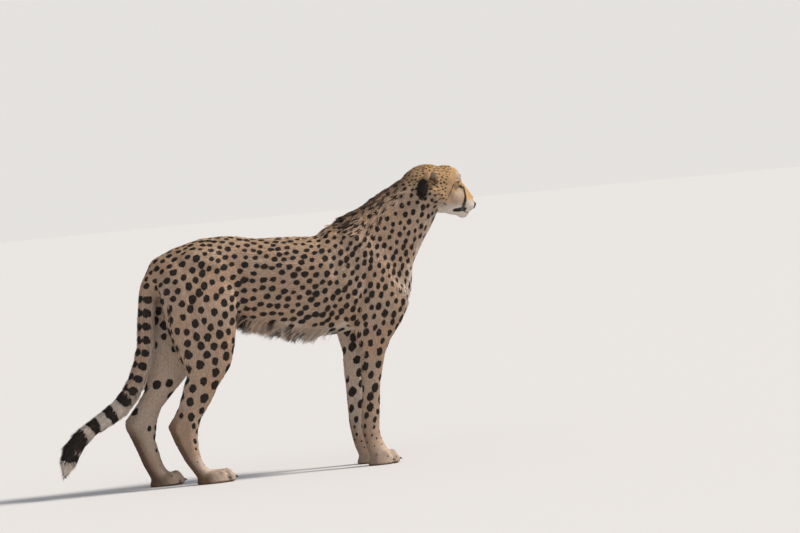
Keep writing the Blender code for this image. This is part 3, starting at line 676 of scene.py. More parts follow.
HEAD_RELIEF = (
    # the hollow beside the nose, and the fold under the eye
    Crease(((0.200, 0.026, 0.040), (0.182, 0.034, 0.046)), 0.0022, 0.008, True),
    Crease(((0.168, 0.046, 0.030), (0.158, 0.050, 0.010), (0.150, 0.050, -0.012)), 0.0030, 0.006, True),
    # the brow over each eye
    Crease(((0.172, 0.020, 0.090), (0.160, 0.040, 0.090), (0.142, 0.052, 0.080)), -0.0030, 0.008, True),
    # the furrow of the forehead
    Crease(((0.176, 0.0, 0.088), (0.158, 0.0, 0.112)), 0.0020, 0.008, True),
    # the brow's edge, the bridge of the nose and the cheekbone
    Crease(((0.150, 0.0, 0.112), (0.176, 0.0, 0.094), (0.190, 0.0, 0.074)), -0.0062, 0.024, True),
    Crease(((0.190, 0.0, 0.070), (0.210, 0.0, 0.056), (0.228, 0.0, 0.042)), -0.0020, 0.014, True),
    # whisker pads and chin
    Crease(((0.218, 0.019, 0.000), (0.202, 0.023, 0.002)), -0.0022, 0.011, True),
)


@dataclass(frozen=True)
class Lids:
    """The opening between the lids, as angles about the eye's axis.

    Attributes:
        at: The eye's centre, in the head's axes.
        radius: The eye's radius.
        gaze: Where the eye looks.
        wide: Sine of the angle to each corner.
        upper: Sine of the angle to the upper lid's edge.
        lower: The same for the lower lid.
        thick: Thickness of the lids.
    """

    at: Point = (0.1545, 0.0345, 0.0640)
    radius: float = 0.0165
    gaze: Point = (0.86, 0.50, 0.06)
    wide: float = 0.78
    upper: float = 0.37
    lower: float = 0.36
    thick: float = 0.0016

    def axes(self, side: float) -> Rows:
        """Return three rows: towards the outer corner, up and ahead, for one eye."""
        ahead = unit(mirrored(self.gaze, side))
        corner = np.array((-0.42, side * 0.90, 0.26))
        outward = unit(corner - ahead * (corner @ ahead))
        upward = unit(np.cross(ahead, outward))
        if upward[2] < 0.0:
            upward = -upward
        return np.stack([HEAD.aim(outward), HEAD.aim(upward), HEAD.aim(ahead)])

    def centre(self, side: float) -> Rows:
        """Return the eye's centre in the model."""
        return HEAD.world(mirrored(self.at, side))

    def margin(self, points: Rows, side: float) -> tuple[Rows, Rows]:
        """Measure how far points lie from the opening's edge.

        The edges are two parabolas between the corners; the distance is the
        greater of the gaps to them, in parts of the eye's radius.

        Args:
            points: Places on the head.
            side: +1 for the left eye, -1 for the right one.

        Returns:
            The distance, negative inside the opening, and how far ahead it is.
        """
        u = unit(points - self.centre(side)) @ self.axes(side).T
        bow = 1.0 - (u[:, 0] / self.wide) ** 2
        edge = np.maximum(u[:, 1] - self.upper * bow, -self.lower * bow - u[:, 1])
        return edge, u[:, 2]

    def fit(self, points: Rows) -> Rows:
        """Wrap the skin round both eyes and sink it in the openings."""
        for side in SIDES.values():
            centre = self.centre(side)
            away = points - centre
            reach = np.linalg.norm(away, axis=1)
            edge, ahead = self.margin(points, side)
            front = smooth(ahead, 0.0, 0.25) * (reach < 2.2 * self.radius)
            lid = self.radius + self.thick * (1.0 - 0.35 * smooth(-edge, -0.15, 0.0))
            hold = front * (1.0 - smooth(edge, 0.22, 0.75))
            goal = np.where(edge > 0.0, lid, self.radius - 0.003)
            hold = np.where(edge > 0.0, hold, front)
            held = reach + hold * (goal - reach)
            shut = (edge > 0.0) | (ahead < 0.1)
            held = np.where(shut, np.maximum(held, self.radius + 0.9 * self.thick), held)
            moved = centre + unit(away) * held[:, None]
            points = np.where((held != reach)[:, None], moved, points)
        return points


LIDS = Lids()


@dataclass
class Surface:
    """The finished skin as arrays, from which the coat grows."""

    points: Rows
    triangles: Rows
    normals: Rows
    lie: Rows
    lay: Lay
    masks: dict[str, Rows] = field(default_factory=dict)


@dataclass
class Skin:
    """One skin over every piece of flesh, inside the coat.

    Attributes:
        voxel: Step of the grid that wraps the solids.
        swell: How far each solid is swollen first, to close the gaps.
        middle: The middle of the head, in its own axes.
        head_reach: How far from it the skin is finer.
        eye_reach: The same from an eye's centre.
        paw_top: The height below which it is finer.
        fairing: Times that the whole skin is smoothed.
        rounding: Times that the places below are smoothed further.
        combing: Times that the lie is averaged.
        rounded: Those places, with their reach.
        thing: The object.
        web: Which of its vertices are neighbours.
    """

    voxel: float = 0.0060
    swell: float = 0.0007
    middle: Point = (0.130, 0.0, 0.040)
    head_reach: float = 0.130
    eye_reach: float = 0.034
    paw_top: float = 0.060
    fairing: int = 16
    rounding: int = 60
    combing: int = 200
    rounded: tuple[tuple[Point, float], ...] = (
        ((-0.084, -0.0035, 0.765), 0.080), ((-0.208, -0.0035, 0.765), 0.090),
        ((-0.375, -0.0035, 0.720), 0.095),
        ((0.435, -0.0035, 0.600), 0.110), ((0.435, -0.0035, 0.510), 0.110),
        ((0.330, -0.0920, 0.700), 0.085), ((0.375, -0.0920, 0.635), 0.085),
        ((0.330, 0.0850, 0.700), 0.085), ((0.375, 0.0850, 0.635), 0.085),
    )
    thing: bpy.types.Object = None
    web: Web = None

    def flesh(self, names: Sequence[str]) -> bpy.types.Object:
        """Join copies of the solids, each swollen to close the gaps between them.

        Args:
            names: The solids to join.

        Returns:
            One object that holds them all.
        """
        rows, faces, start = [], [], 0
        for name in names:
            shape = bmesh.new()
            shape.from_mesh(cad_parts[name].data)
            bmesh.ops.remove_doubles(shape, verts=shape.verts, dist=1e-5)
            shape.normal_update()
            rows += [vertex.co + vertex.normal * self.swell for vertex in shape.verts]
            shape.verts.index_update()
            faces += [[start + vertex.index for vertex in face.verts] for face in shape.faces]
            start = len(rows)
            shape.free()
        return mesh_object("skin", np.array(rows), np.array(faces))

    def remesh(self, names: Sequence[str]) -> None:
        """Wrap the joined solids in one even mesh and keep its outer shell."""
        self.thing = self.flesh(names)
        step = self.thing.modifiers.new("wrap", "REMESH")
        step.mode = "VOXEL"
        step.voxel_size = self.voxel
        settle(self.thing)
        web = Web.of(self.thing.data)
        label = np.arange(web.count)
        while True:
            spread = label.copy()
            np.minimum.at(spread, web.one, label[web.two])
            spread = spread[spread]
            if np.array_equal(spread, label):
                break
            label = spread
        largest = np.bincount(label).argmax()
        shape = bmesh.new()
        shape.from_mesh(self.thing.data)
        shape.verts.ensure_lookup_table()
        strays = [shape.verts[k] for k in np.flatnonzero(label != largest)]
        bmesh.ops.delete(shape, geom=strays, context="VERTS")
        shape.to_mesh(self.thing.data)
        shape.free()

    def refine(self, wanted: Callable[[Rows], Rows]) -> None:
        """Halve the edges whose ends are both wanted."""
        chosen = wanted(points_of(self.thing.data))
        shape = bmesh.new()
        shape.from_mesh(self.thing.data)
        shape.verts.ensure_lookup_table()
        picked = set(np.flatnonzero(chosen).tolist())
        edges = [e for e in shape.edges if e.verts[0].index in picked and e.verts[1].index in picked]
        bmesh.ops.subdivide_edges(shape, edges=edges, cuts=1, use_grid_fill=True)
        shape.to_mesh(self.thing.data)
        shape.free()

    def near_head(self, points: Rows, reach: float) -> Rows:
        """Return which points lie near the middle of the head."""
        return apart(points, HEAD.world(self.middle)) < reach

    def near_details(self, points: Rows) -> Rows:
        """Return which points lie near an eye or a toe's end."""
        chosen = np.zeros(len(points), bool)
        for side in SIDES.values():
            chosen |= apart(points, LIDS.centre(side)) < self.eye_reach
        for foot in FEET:
            boxes = np.array([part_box(f"claw_{foot}_{k}") for k in range(1, 5)])
            low, high = boxes.min(axis=(0, 1)) - 0.030, boxes.max(axis=(0, 1)) + 0.020
            chosen |= np.all((points > low) & (points < high), axis=1) & (points[:, 2] > 0.003)
        return chosen

    def grow(self, names: Sequence[str]) -> Surface:
        """Build the skin and return it as arrays.

        Args:
            names: The solids that it replaces.

        Returns:
            The surface under the coat.
        """
        self.remesh(names)
        self.refine(lambda p: self.near_head(p, self.head_reach) | (p[:, 2] < self.paw_top))
        self.refine(self.near_details)
        mesh = self.thing.data
        self.web = Web.of(mesh)
        points = points_of(mesh)
        firm = smooth(-apart(points, HEAD.world(self.middle)), -0.17, -0.11)
        firm = np.maximum(firm, smooth(-points[:, 2], -0.09, -0.05))
        points = self.web.fair(points, self.fairing, 1.0 - 0.72 * firm)
        triangles = triangles_of(mesh)
        normals = self.web.soften(vertex_normals(points, triangles), 3)
        lay = SKELETON.read(points)
        depth = self.web.soften(lay.traits[:, DEPTH] * MM, 10)
        sunk = points - unit(normals) * depth[:, None]
        grounded = smooth(points[:, 2], 0.004, 0.016)[:, None]
        points = points + grounded * (sunk - points)
        points = self.web.fair(points, 2, np.ones(len(points)))
        normals = unit(self.web.soften(vertex_normals(points, triangles), 2))
        for relief in BODY_RELIEF + HEAD_RELIEF:
            points = points + relief.press(points, normals)
        toes = press_toes(points, normals)
        points = points + toes
        # painted shade: how deep the skin is pressed between the toes, kept to darken the coat in those
        # furrows
        dip = smooth(-dot(toes, normals), 0.0014, 0.0060)
        share = np.zeros(len(points))
        for place, reach in self.rounded:
            share = np.maximum(share, smooth(-apart(points, place), -reach, -0.5 * reach))
        for _ in range(self.rounding):
            points = points + 0.5 * share[:, None] * (self.web.mean(points) - points)
        points = LIDS.fit(points)
        points[:, 2] = np.maximum(points[:, 2], 0.0)
        mesh.vertices.foreach_set("co", points.astype(np.float32).ravel())
        mesh.polygons.foreach_set("use_smooth", np.ones(len(mesh.polygons), bool))
        mesh.update()
        normals = vertex_normals(points, triangles)
        lay = SKELETON.read(points)
        surface = Surface(points, triangles, normals, self.comb(points, normals, lay), lay)
        bpy.data.objects.remove(self.thing)
        self.add_ears(surface)
        surface.masks["dip"] = np.append(dip, np.zeros(len(surface.points) - len(dip)))
        self.thing = mesh_object("skin", surface.points, surface.triangles)
        self.web = Web.of(self.thing.data)
        LOG.info("skin: %d points, %d triangles", len(surface.points), len(surface.triangles))
        return surface

    def add_ears(self, surface: Surface) -> None:
        """Join both ears to the surface, with their own coat, lie and masks.

        Args:
            surface: The skin so far; its arrays grow.
        """
        ear, hollow, reach = (np.zeros(len(surface.points)) for _ in range(3))
        for side in SIDES.values():
            points, triangles, inside, along = EAR.shell(side)
            normals = vertex_normals(points, triangles)
            heading = np.tile(EAR.heading(side), (len(points), 1))
            lie = unit(heading - normals * dot(heading, normals)[:, None])
            lay = SKELETON.read(points)
            lay.traits[:] = Pelt.EAR.value.row()
            lay.limb[:] = list(Limb).index(Limb.HEAD)
            surface.triangles = np.vstack([surface.triangles, triangles + len(surface.points)])
            surface.points = np.vstack([surface.points, points])
            surface.normals = np.vstack([surface.normals, normals])
            surface.lie = np.vstack([surface.lie, lie])
            surface.lay = surface.lay.with_more(lay)
            ear = np.append(ear, np.ones(len(points)))
            hollow = np.append(hollow, inside.astype(float))
            reach = np.append(reach, along)
        surface.masks = {"ear": ear, "hollow": hollow, "ear_along": reach}

    def comb(self, points: Rows, normals: Rows, lay: Lay) -> Rows:
        """Work out the lie of the coat as unit vectors along the skin.

        The axes' headings are changed where the coat lies otherwise: over the
        head it runs away from the nose, on flanks and belly it falls.

        Args:
            points: Places on the skin.
            normals: Their normals.
            lay: What the skeleton says there.

        Returns:
            One direction a point.
        """
        lie = lay.lie.copy()
        nose = HEAD.world((0.250, 0.0, 0.030))
        away = unit(points - nose)
        share = lay.on(Limb.HEAD).astype(float)[:, None]
        lie = lie * (1.0 - share) + away * share
        low = smooth(-points[:, 2], -0.62, -0.50) * lay.on(Limb.TRUNK)
        side = 1.0 - np.abs(normals[:, 2])
        lie[:, 2] -= 0.25 * side * lay.on(Limb.TRUNK) + 0.25 * low
        front = smooth(points[:, 0], 0.36, 0.42) * smooth(-points[:, 2], -0.74, -0.66)
        lie = lie * (1.0 - front[:, None]) + np.array((0.0, 0.0, -1.0)) * front[:, None]
        blade = smooth(points[:, 0], 0.17, 0.29) * smooth(points[:, 2], 0.47, 0.56) * side
        blade *= smooth(-points[:, 2], -0.80, -0.70) * smooth(-points[:, 0], -0.46, -0.40)
        lie = unit(lie) * (1.0 - blade[:, None]) + np.array((-0.48, 0.0, -0.88)) * blade[:, None]
        lie = self.web.soften(unit(lie), self.combing)
        lie = lie - normals * dot(lie, normals)[:, None]
        return unit(lie)


@dataclass(frozen=True)
class Ear:
    """One ear as a thin cup, in the head's axes.

    Attributes:
        root: Middle of its foot, inside the head.
        tip: Its round end.
        opening: Where the cup looks.
        half: Half its breadth.
        depth: How deep the cup is at its foot.
        wall: Thickness of flesh.
        slices: Rings of points from foot to tip.
        arc: Points in half a ring.
    """

    root: Point = (0.053, 0.058, 0.004)
    tip: Point = (0.044, 0.0965, 0.0785)
    opening: Point = (0.54, 0.82, -0.05)
    half: float = 0.0385
    depth: float = 0.0490
    wall: float = 0.0032
    slices: int = 30
    arc: int = 22

    def shell(self, side: float) -> tuple[Rows, Rows, Rows, Rows]:
        """Work out the closed cup.

        A slice at s from foot to tip is half an oval of breadth
        w = half (1 - s^2.4)^0.5 and depth d = depth (1 - 0.50 s), both drawn
        in at the foot so that the cup is round below; the inner
        face is the same, drawn in by the wall.

        Args:
            side: +1 for the left ear, -1 for the right one.

        Returns:
            Points, triangles, which points are on the inner face, and s.
        """
        root, tip, opening = (mirrored(place, side) for place in (self.root, self.tip, self.opening))
        axis = unit(tip - root)
        opening = unit(opening - axis * (opening @ axis))
        breadth = np.cross(axis, opening)
        s = (np.linspace(0.0, 1.0, self.slices) ** 0.75 * 0.995)[:, None, None]
        turn = np.linspace(-0.5 * math.pi, 0.5 * math.pi, self.arc)[None, :, None]
        foot = np.sqrt(np.clip(s / 0.30, 0.02, 1.0) * (2.0 - np.clip(s / 0.30, 0.02, 1.0)))
        half = self.half * np.sqrt(np.maximum(1.0 - s ** 2.4, 0.0)) * foot
        depth = self.depth * (1.0 - 0.50 * s) * np.minimum(1.0, 2.0 * half / self.half)
        wall = np.minimum(self.wall, 0.45 * depth)
        length = np.linalg.norm(tip - root)
        centre = root + axis * (length * s) + opening * (0.25 * depth)
        outer = centre + breadth * (half * np.sin(turn)) - opening * (depth * np.cos(turn))
        narrow = np.maximum(half - 0.5 * wall, 0.2 * half)
        inner = centre + breadth * (narrow * np.sin(turn)) - opening * ((depth - wall) * np.cos(turn))
        grid = np.concatenate([outer, inner[:, ::-1]], axis=1)
        count = grid.shape[1]
        points = np.vstack([grid.reshape(-1, 3), grid[0].mean(axis=0), grid[-1].mean(axis=0)])
        row = np.arange(count)
        after = (row + 1) % count
        a = row + count * np.arange(self.slices - 1)[:, None]
        b = a - row + after
        walls = [np.stack([a, b, b + count], axis=-1), np.stack([a, b + count, a + count], axis=-1)]
        last = (self.slices - 1) * count
        triangles = outward(points, np.vstack([
            np.stack(walls, axis=1).reshape(-1, 3),
            np.stack([np.full(count, len(points) - 2), after, row], axis=1),
            np.stack([np.full(count, len(points) - 1), last + row, last + after], axis=1),
        ]))
        hollow = np.append(np.tile(row >= self.arc, self.slices), (False, False))
        return HEAD.world(points), triangles, hollow, np.append(np.repeat(s[:, 0, 0], count), (0.0, 1.0))

    def heading(self, side: float) -> Rows:
        """Return the way from foot to tip in the model."""
        return unit(HEAD.aim(mirrored(np.array(self.tip) - np.array(self.root), side)))


def outward(points: Rows, triangles: Rows) -> Rows:
    """Return a closed mesh's triangles turned outwards, told by the sign of its volume."""
    a, b, c = points[triangles].transpose(1, 0, 2)
    return triangles[:, ::-1] if dot(a, np.cross(b, c)).sum() < 0.0 else triangles


EAR = Ear()


# ---------------------------------------------------------------- markings
@dataclass(frozen=True)
class Stroke:
    """A black line of the face: a path in the head's axes with a half width at its ends."""

    path: tuple[Point, ...]
    start: float
    end: float


STROKES = (
    # from the eye's inner corner down beside the nose to the corner of the mouth
    Stroke(
        ((0.1735, 0.0250, 0.0640), (0.1845, 0.0240, 0.0560), (0.1950, 0.0235, 0.0440),
         (0.2010, 0.0245, 0.0290), (0.2015, 0.0265, 0.0130), (0.1985, 0.0275, -0.0010)),
        0.0030, 0.0050,
    ),
    # the lips, from under the nose to the corner of the mouth
    Stroke(
        ((0.2400, 0.0, 0.0040), (0.2360, 0.0040, -0.0120), (0.2240, 0.0140, -0.0175),
         (0.2080, 0.0200, -0.0160), (0.1940, 0.0250, -0.0100)),
        0.0010, 0.0026,
    ),
    # the dark lower lip behind the corner, made broad so that it also stands for painted shade under the
    # upper lip
    Stroke(((0.2040, 0.0240, -0.0105), (0.1890, 0.0280, -0.0165), (0.1735, 0.0310, -0.0235)), 0.0084, 0.0056),
    # the thin dark line that falls from the eye's outer corner over the cheek: painted shade along the
    # cheek's fold
    Stroke(
        ((0.1440, 0.0495, 0.0560), (0.1377, 0.0555, 0.0391),
         (0.1318, 0.0550, 0.0169), (0.1266, 0.0566, 0.0045)),
        0.0026, 0.0012,
    ),
)


def whisker_roots() -> Rows:
    """Return where the whiskers of one side grow, in the head's axes: four rows of five."""
    row, k = (grid.ravel() for grid in np.meshgrid(np.arange(4.0), np.arange(5.0), indexing="ij"))
    return np.stack([0.226 - 0.0065 * k, 0.0185 + 0.0022 * k, 0.0120 - 0.0058 * row - 0.0008 * k], axis=1)


@dataclass
class Markings:
    """Spots, rings and lines, and the paler, warmer and darker parts of the coat.

    Every black marking is a distance, negative inside it, that can be asked
    for at any place on or just over the skin, so that skin and locks agree.

    Attributes:
        surface: The skin as arrays.
        skin: The skin itself.
        seed: For the order in which places are tried.
        far: The distance that stands for no marking at all.
        thinning: The least gap that is tried, over the gap wanted.
        trials: How many places are tried.
        most: How many spots there may be.
        rounds: Times that the spots are moved to the middles of their areas.
        batch: Vertices whose nearest spots are looked for at once.
        chosen: The vertex in the middle of each spot.
        radius: Each spot's radius.
        few: The numbers of the spots near each vertex.
        axis: Each spot's long axis.
        RINGS: The tail's rings: their middles and half widths along it.
    """

    surface: Surface
    skin: "Skin"
    seed: int = 11
    far: float = 0.02
    thinning: float = 0.72
    trials: int = 60000
    most: int = 6000
    rounds: int = 3
    batch: int = 8000
    chosen: Rows = None
    radius: Rows = None
    few: Rows = None
    axis: Rows = None

    RINGS = ((0.459, 0.0190), (0.524, 0.0160), (0.588, 0.0160), (0.654, 0.0275), (0.706, 0.0255))

    def scatter(self) -> None:
        """Place the spots: points drawn in random order, none nearer than the gap there."""
        chance = np.random.default_rng(self.seed)
        points, normals = self.surface.points, self.surface.normals
        gap = self.surface.lay.traits[:, GAP] * MM * self.thinning * self.crowding()
        order = chance.permutation(np.flatnonzero(self.allowed()))[:self.trials]
        kept, facing = np.empty((2, self.most, 3))
        names: list[int] = []
        for k in order:
            n = len(names)
            near = apart(kept[:n], points[k]) < gap[k]
            if not np.any(near & (facing[:n] @ normals[k] > 0.0)):
                kept[n], facing[n] = points[k], normals[k]
                names.append(int(k))
        self.chosen = np.array(names)
        for _ in range(self.rounds):
            self.spread()
        size = chance.uniform(0.80, 1.14, len(self.chosen)) * self.fade(self.chosen)
        self.radius = self.surface.lay.traits[self.chosen, SPOT] * MM * size * self.above(points)[self.chosen]
        self.few = self.nearest(5)
        self.axis = self.grain()[self.chosen]
        LOG.info("markings: %d spots", int((size > 0.0).sum()))

    def above(self, points: Rows) -> Rows:
        """Return the share of size and spacing that spots have: less over the back."""
        trunk = self.surface.lay.on(Limb.TRUNK)
        return 1.0 - 0.16 * trunk * smooth(points[:, 2], 0.66, 0.74)

    def crowding(self) -> Rows:
        """Return the share of their spacing that spots keep: less over the back and the nape."""
        return self.above(self.surface.points) * (1.0 - 0.22 * self.surface.masks["nape"])

    def grain(self) -> Rows:
        """Return the spots' long axes: along the lie, but nearly upright over the shoulder."""
        surface = self.surface
        front = ~(surface.lay.on(Limb.HEAD) | surface.lay.on(Limb.TAIL))
        share = (front * smooth(surface.points[:, 0] - ORIGIN[0], 0.06, 0.15))[:, None]
        axis = surface.lie + share * (np.array((-0.40, 0.0, -0.92)) - surface.lie)
        return unit(axis - surface.normals * dot(axis, surface.normals)[:, None])

    def spread(self) -> None:
        """Move each spot to the middle of the skin that is nearest to it."""
        surface = self.surface
        owner = self.nearest(1)[:, 0]
        live = self.allowed()
        spacing = np.maximum(surface.lay.traits[:, GAP], 1.0) * self.crowding()
        weight = live / spacing ** 2 * surface.masks["area"]
        total = np.maximum(np.bincount(owner, weight, len(self.chosen)), 1e-12)
        sums = [np.bincount(owner, weight * column, len(self.chosen)) for column in surface.points.T]
        middle = np.stack(sums, axis=1) / total[:, None]
        gap = apart(surface.points, middle[owner]) + 1.0 * ~live
        order = np.lexsort((gap, owner))
        owners, first = np.unique(owner[order], return_index=True)
        self.chosen[owners] = order[first]

    def nearest(self, count: int) -> Rows:
        """Find the spots nearest to every vertex that face the same way.

        Args:
            count: How many to find.

        Returns:
            The spots' numbers, one row a vertex, nearest first.
        """
        points, normals = self.surface.points.astype(np.float32), self.surface.normals.astype(np.float32)
        middle, facing = points[self.chosen], normals[self.chosen]
        numbers = []
        for start in range(0, len(points), self.batch):
            rows = slice(start, start + self.batch)
            square = (points[rows] ** 2).sum(1)[:, None] - 2.0 * points[rows] @ middle.T
            square = square + (middle ** 2).sum(1)
            square = square + 0.0030 * (normals[rows] @ facing.T < 0.0)  # away from the far side's spots
            numbers.append(np.argpartition(square, count - 1, axis=1)[:, :count])
        return np.vstack(numbers)

    def allowed(self) -> Rows:
        """Return where spots may be: not on the muzzle, the ears, the tail or the soles."""
        surface = self.surface
        lay, points = surface.lay, surface.points
        local = HEAD.local(points)
        muzzle = lay.on(Limb.HEAD) & (local[:, 0] > 0.150 - 0.4 * np.abs(local[:, 1]))
        muzzle |= lay.on(Limb.HEAD) & (local[:, 0] > 0.120) & (local[:, 2] < 0.080) & (local[:, 2] > 0.020)
        chin = lay.on(Limb.HEAD) & (local[:, 2] < -0.015) & (local[:, 0] > 0.12)
        ears, soles = surface.masks["ear"].astype(bool), points[:, 2] < 0.012
        return ~(muzzle | chin | ears | lay.on(Limb.TAIL) | soles)

    def fade(self, chosen: Rows) -> Rows:
        """Return each spot's further share of size where the coat has few of them."""
        surface = self.surface
        points, normals, lay = surface.points[chosen], surface.normals[chosen], surface.lay
        chance = np.random.default_rng(self.seed + 1).uniform(0.0, 1.0, len(chosen))
        share = np.ones(len(chosen))
        belly = (normals[:, 2] < -0.60) & (points[:, 2] > 0.40)
        share[belly & (chance < np.where(points[:, 0] > 0.02, 0.30, 0.60))] = 0.0
        inner = self.inner(points, normals) & (points[:, 2] < 0.52)
        share[inner & (chance < 0.30)] = 0.0
        for name in SIDES:
            hind = lay.on(Limb(f"hind_{name}"))[chosen]
            low = hind & (points[:, 2] < 0.215)
            share[low & (normals[:, 0] < 0.10)] = 0.0
            share[hind & (points[:, 2] < 0.050) & (chance < 0.6)] = 0.0
            fore = lay.on(Limb(f"fore_{name}"))[chosen]
            share[fore & (points[:, 2] < 0.060) & (chance < 0.6)] = 0.0
        throat = (normals[:, 2] < -0.35) & (normals[:, 0] > 0.2) & (points[:, 2] > 0.60)
        share[throat & (chance < 0.50)] = 0.0
        return share

    @staticmethod
    def inner(points: Rows, normals: Rows) -> Rows:
        """Return which points face the body's middle plane."""
        return normals[:, 1] * np.sign(points[:, 1] - ORIGIN[1]) < -0.25

    def spots(self, points: Rows, few: Rows) -> Rows:
        """Return the distance from places to the nearest spot's edge.

        A spot is an oval that is longer along the coat's lie.  Its edge is
        uneven because the places are first moved by a smooth noise.

        Args:
            points: The places.
            few: The numbers of the spots near each.

        Returns:
            One distance a place, negative inside a spot.
        """
        surface = self.surface
        wobble = np.stack([ripple(points, 0.016, 40 + k) for k in range(3)], axis=1)
        centre, lie, normal = surface.points[self.chosen], self.axis, surface.normals[self.chosen]
        across = np.cross(normal, lie)
        stretch = surface.lay.traits[self.chosen, STRETCH] ** 0.5
        best = np.full(len(points), self.far)
        for column in few.T:
            r = np.maximum(self.radius[column], 1e-5)
            away = points + wobble * (0.10 * r)[:, None] - centre[column]
            along = dot(away, lie[column]) / (r * stretch[column])
            aside = dot(away, across[column]) / (r / stretch[column])
            over = dot(away, normal[column]) / (2.2 * r)
            edge = (np.sqrt(along ** 2 + aside ** 2 + over ** 2) - 1.0) * r
            best = np.where(r > 1e-4, np.minimum(best, edge), best)
        return best

    def tail_rings(self, points: Rows, normals: Rows) -> Rows:
        """Return the distance to the tail's rings and pairs of spots.

        Bands are given by their middle and half width along the tail; higher
        up, two columns of ovals stand on the tail's back at even steps.

        Args:
            points: Places on the tail.
            normals: The skin's normals there.

        Returns:
            One distance a place, negative inside the black.
        """
        axis = catmull(SKELETON.axis(Limb.TAIL), 6)
        _, along = path_distance(points, axis)
        length = np.linalg.norm(np.diff(axis, axis=0), axis=1).sum()
        place = along * length + 0.0020 * ripple(points, 0.020, 71)
        edge = np.full(len(place), self.far)
        under = smooth(normals[:, 0] - 0.6 * normals[:, 2], -0.1, 0.9)
        for number, (middle, half) in enumerate(self.RINGS):
            half = half * (1.0 - (0.9 if number == 0 else 0.28) * under)
            edge = np.minimum(edge, np.abs(place - middle) - half)
        step = 0.0425
        row = np.abs((place - 0.0180) % step - 0.5 * step)
        turn = np.abs(np.arctan2(normals[:, 1], -normals[:, 0]))
        column = 0.024 * np.minimum(np.abs(turn - 0.42), np.abs(turn - 1.45))
        oval = (np.hypot(row / 0.0130, column / 0.0135) - 1.0) * 0.0130
        oval = np.where(place < self.RINGS[0][0] - self.RINGS[0][1] - 0.004, oval, self.far)
        return np.minimum(edge, oval)

    def lines(self, points: Rows) -> Rows:
        """Return the distance to the black lines of the face and the rims of the eyes."""
        edge = np.full(len(points), self.far)
        for side in SIDES.values():
            for stroke in STROKES:
                path = self.snap(catmull(HEAD.world(mirrored(stroke.path, side)), 4))
                for _ in range(3):
                    path[1:-1] = 0.25 * (path[:-2] + path[2:]) + 0.5 * path[1:-1]
                gap, along = path_distance(points, path)
                edge = np.minimum(edge, gap - (stroke.start + along * (stroke.end - stroke.start)))
            rim, ahead = LIDS.margin(points, side)
            near = apart(points, LIDS.centre(side)) < 0.030
            edge = np.where(near & (ahead > 0.2), np.minimum(edge, (rim - 0.19) * LIDS.radius), edge)
            # a black patch behind and below each ear's foot: partly dark hair, partly painted shade under the
            # ear
            base = mirrored(HEAD.local(points), side) - (0.036, 0.062, 0.026)
            patch = (np.linalg.norm(base / (0.021, 0.026, 0.035), axis=1) - 1.0) * 0.018
            edge = np.minimum(edge, patch + 0.002 * ripple(points, 0.012, 6))
            for root in self.snap(HEAD.world(mirrored(whisker_roots(), side))):
                edge = np.minimum(edge, apart(points, root) - 0.0010)
        return np.minimum(edge, self.nose_edge(points))

    @staticmethod
    def nose_edge(points: Rows) -> Rows:
        """Return the distance to the bare skin of the nose, an oval narrowed below."""
        local = HEAD.local(points) - (0.2410, 0.0, 0.0085)
        narrow = 1.0 - 0.35 * smooth(-local[:, 2], -0.004, 0.014)
        half = np.stack([0.0165 * narrow, 0.0195 * narrow, 0.0135 + 0.0 * narrow], axis=1)
        return (np.linalg.norm(local / half, axis=1) - 1.0) * 0.014

    def snap(self, path: Rows) -> Rows:
        """Return a path with each corner moved to the nearest point of the head's skin."""
        points = self.surface.points[self.surface.lay.on(Limb.HEAD)]
        return points[apart(path[:, None], points[None]).argmin(axis=1)]

    def ears(self) -> Rows:
        """Return the distance to the black of the ears' backs, which leaves the tips."""
        masks = self.surface.masks
        edge = (masks["ear_along"] - 0.74) * 0.08 + 0.002 * ripple(self.surface.points, 0.012, 5)
        outside = (masks["ear"] > 0.5) & (masks["hollow"] < 0.5)
        return np.where(outside, edge, self.far)

    def marks(self, points: Rows, normals: Rows, limb: Rows) -> Rows:
        """Return the distance to the rings and lines at places of known limbs."""
        edge = np.full(len(points), self.far)
        neck, head, tail = (limb == list(Limb).index(part) for part in (Limb.NECK, Limb.HEAD, Limb.TAIL))
        head |= neck
        edge[head] = self.lines(points[head])
        edge[tail] = self.tail_rings(points[tail], normals[tail])
        return edge

    def shades(self) -> None:
        """Work out where the coat is pale, golden or brown, each from 0 to 1; the brown also holds painted
        shade.
        """
        surface = self.surface
        points, normals, lay = surface.points, surface.normals, surface.lay
        noise = ripple(points, 0.060, 9)
        height, under = points[:, 2], -normals[:, 2]
        local = HEAD.local(points)
        turned = normals @ HEAD.turn
        out = normals[:, 1] * np.sign(points[:, 1] - ORIGIN[1])
        head = lay.on(Limb.HEAD).astype(float)
        trunk = (lay.on(Limb.TRUNK) | lay.on(Limb.NECK)).astype(float)
        legs = 1.0 - np.maximum(np.maximum(head, trunk), lay.on(Limb.TAIL))

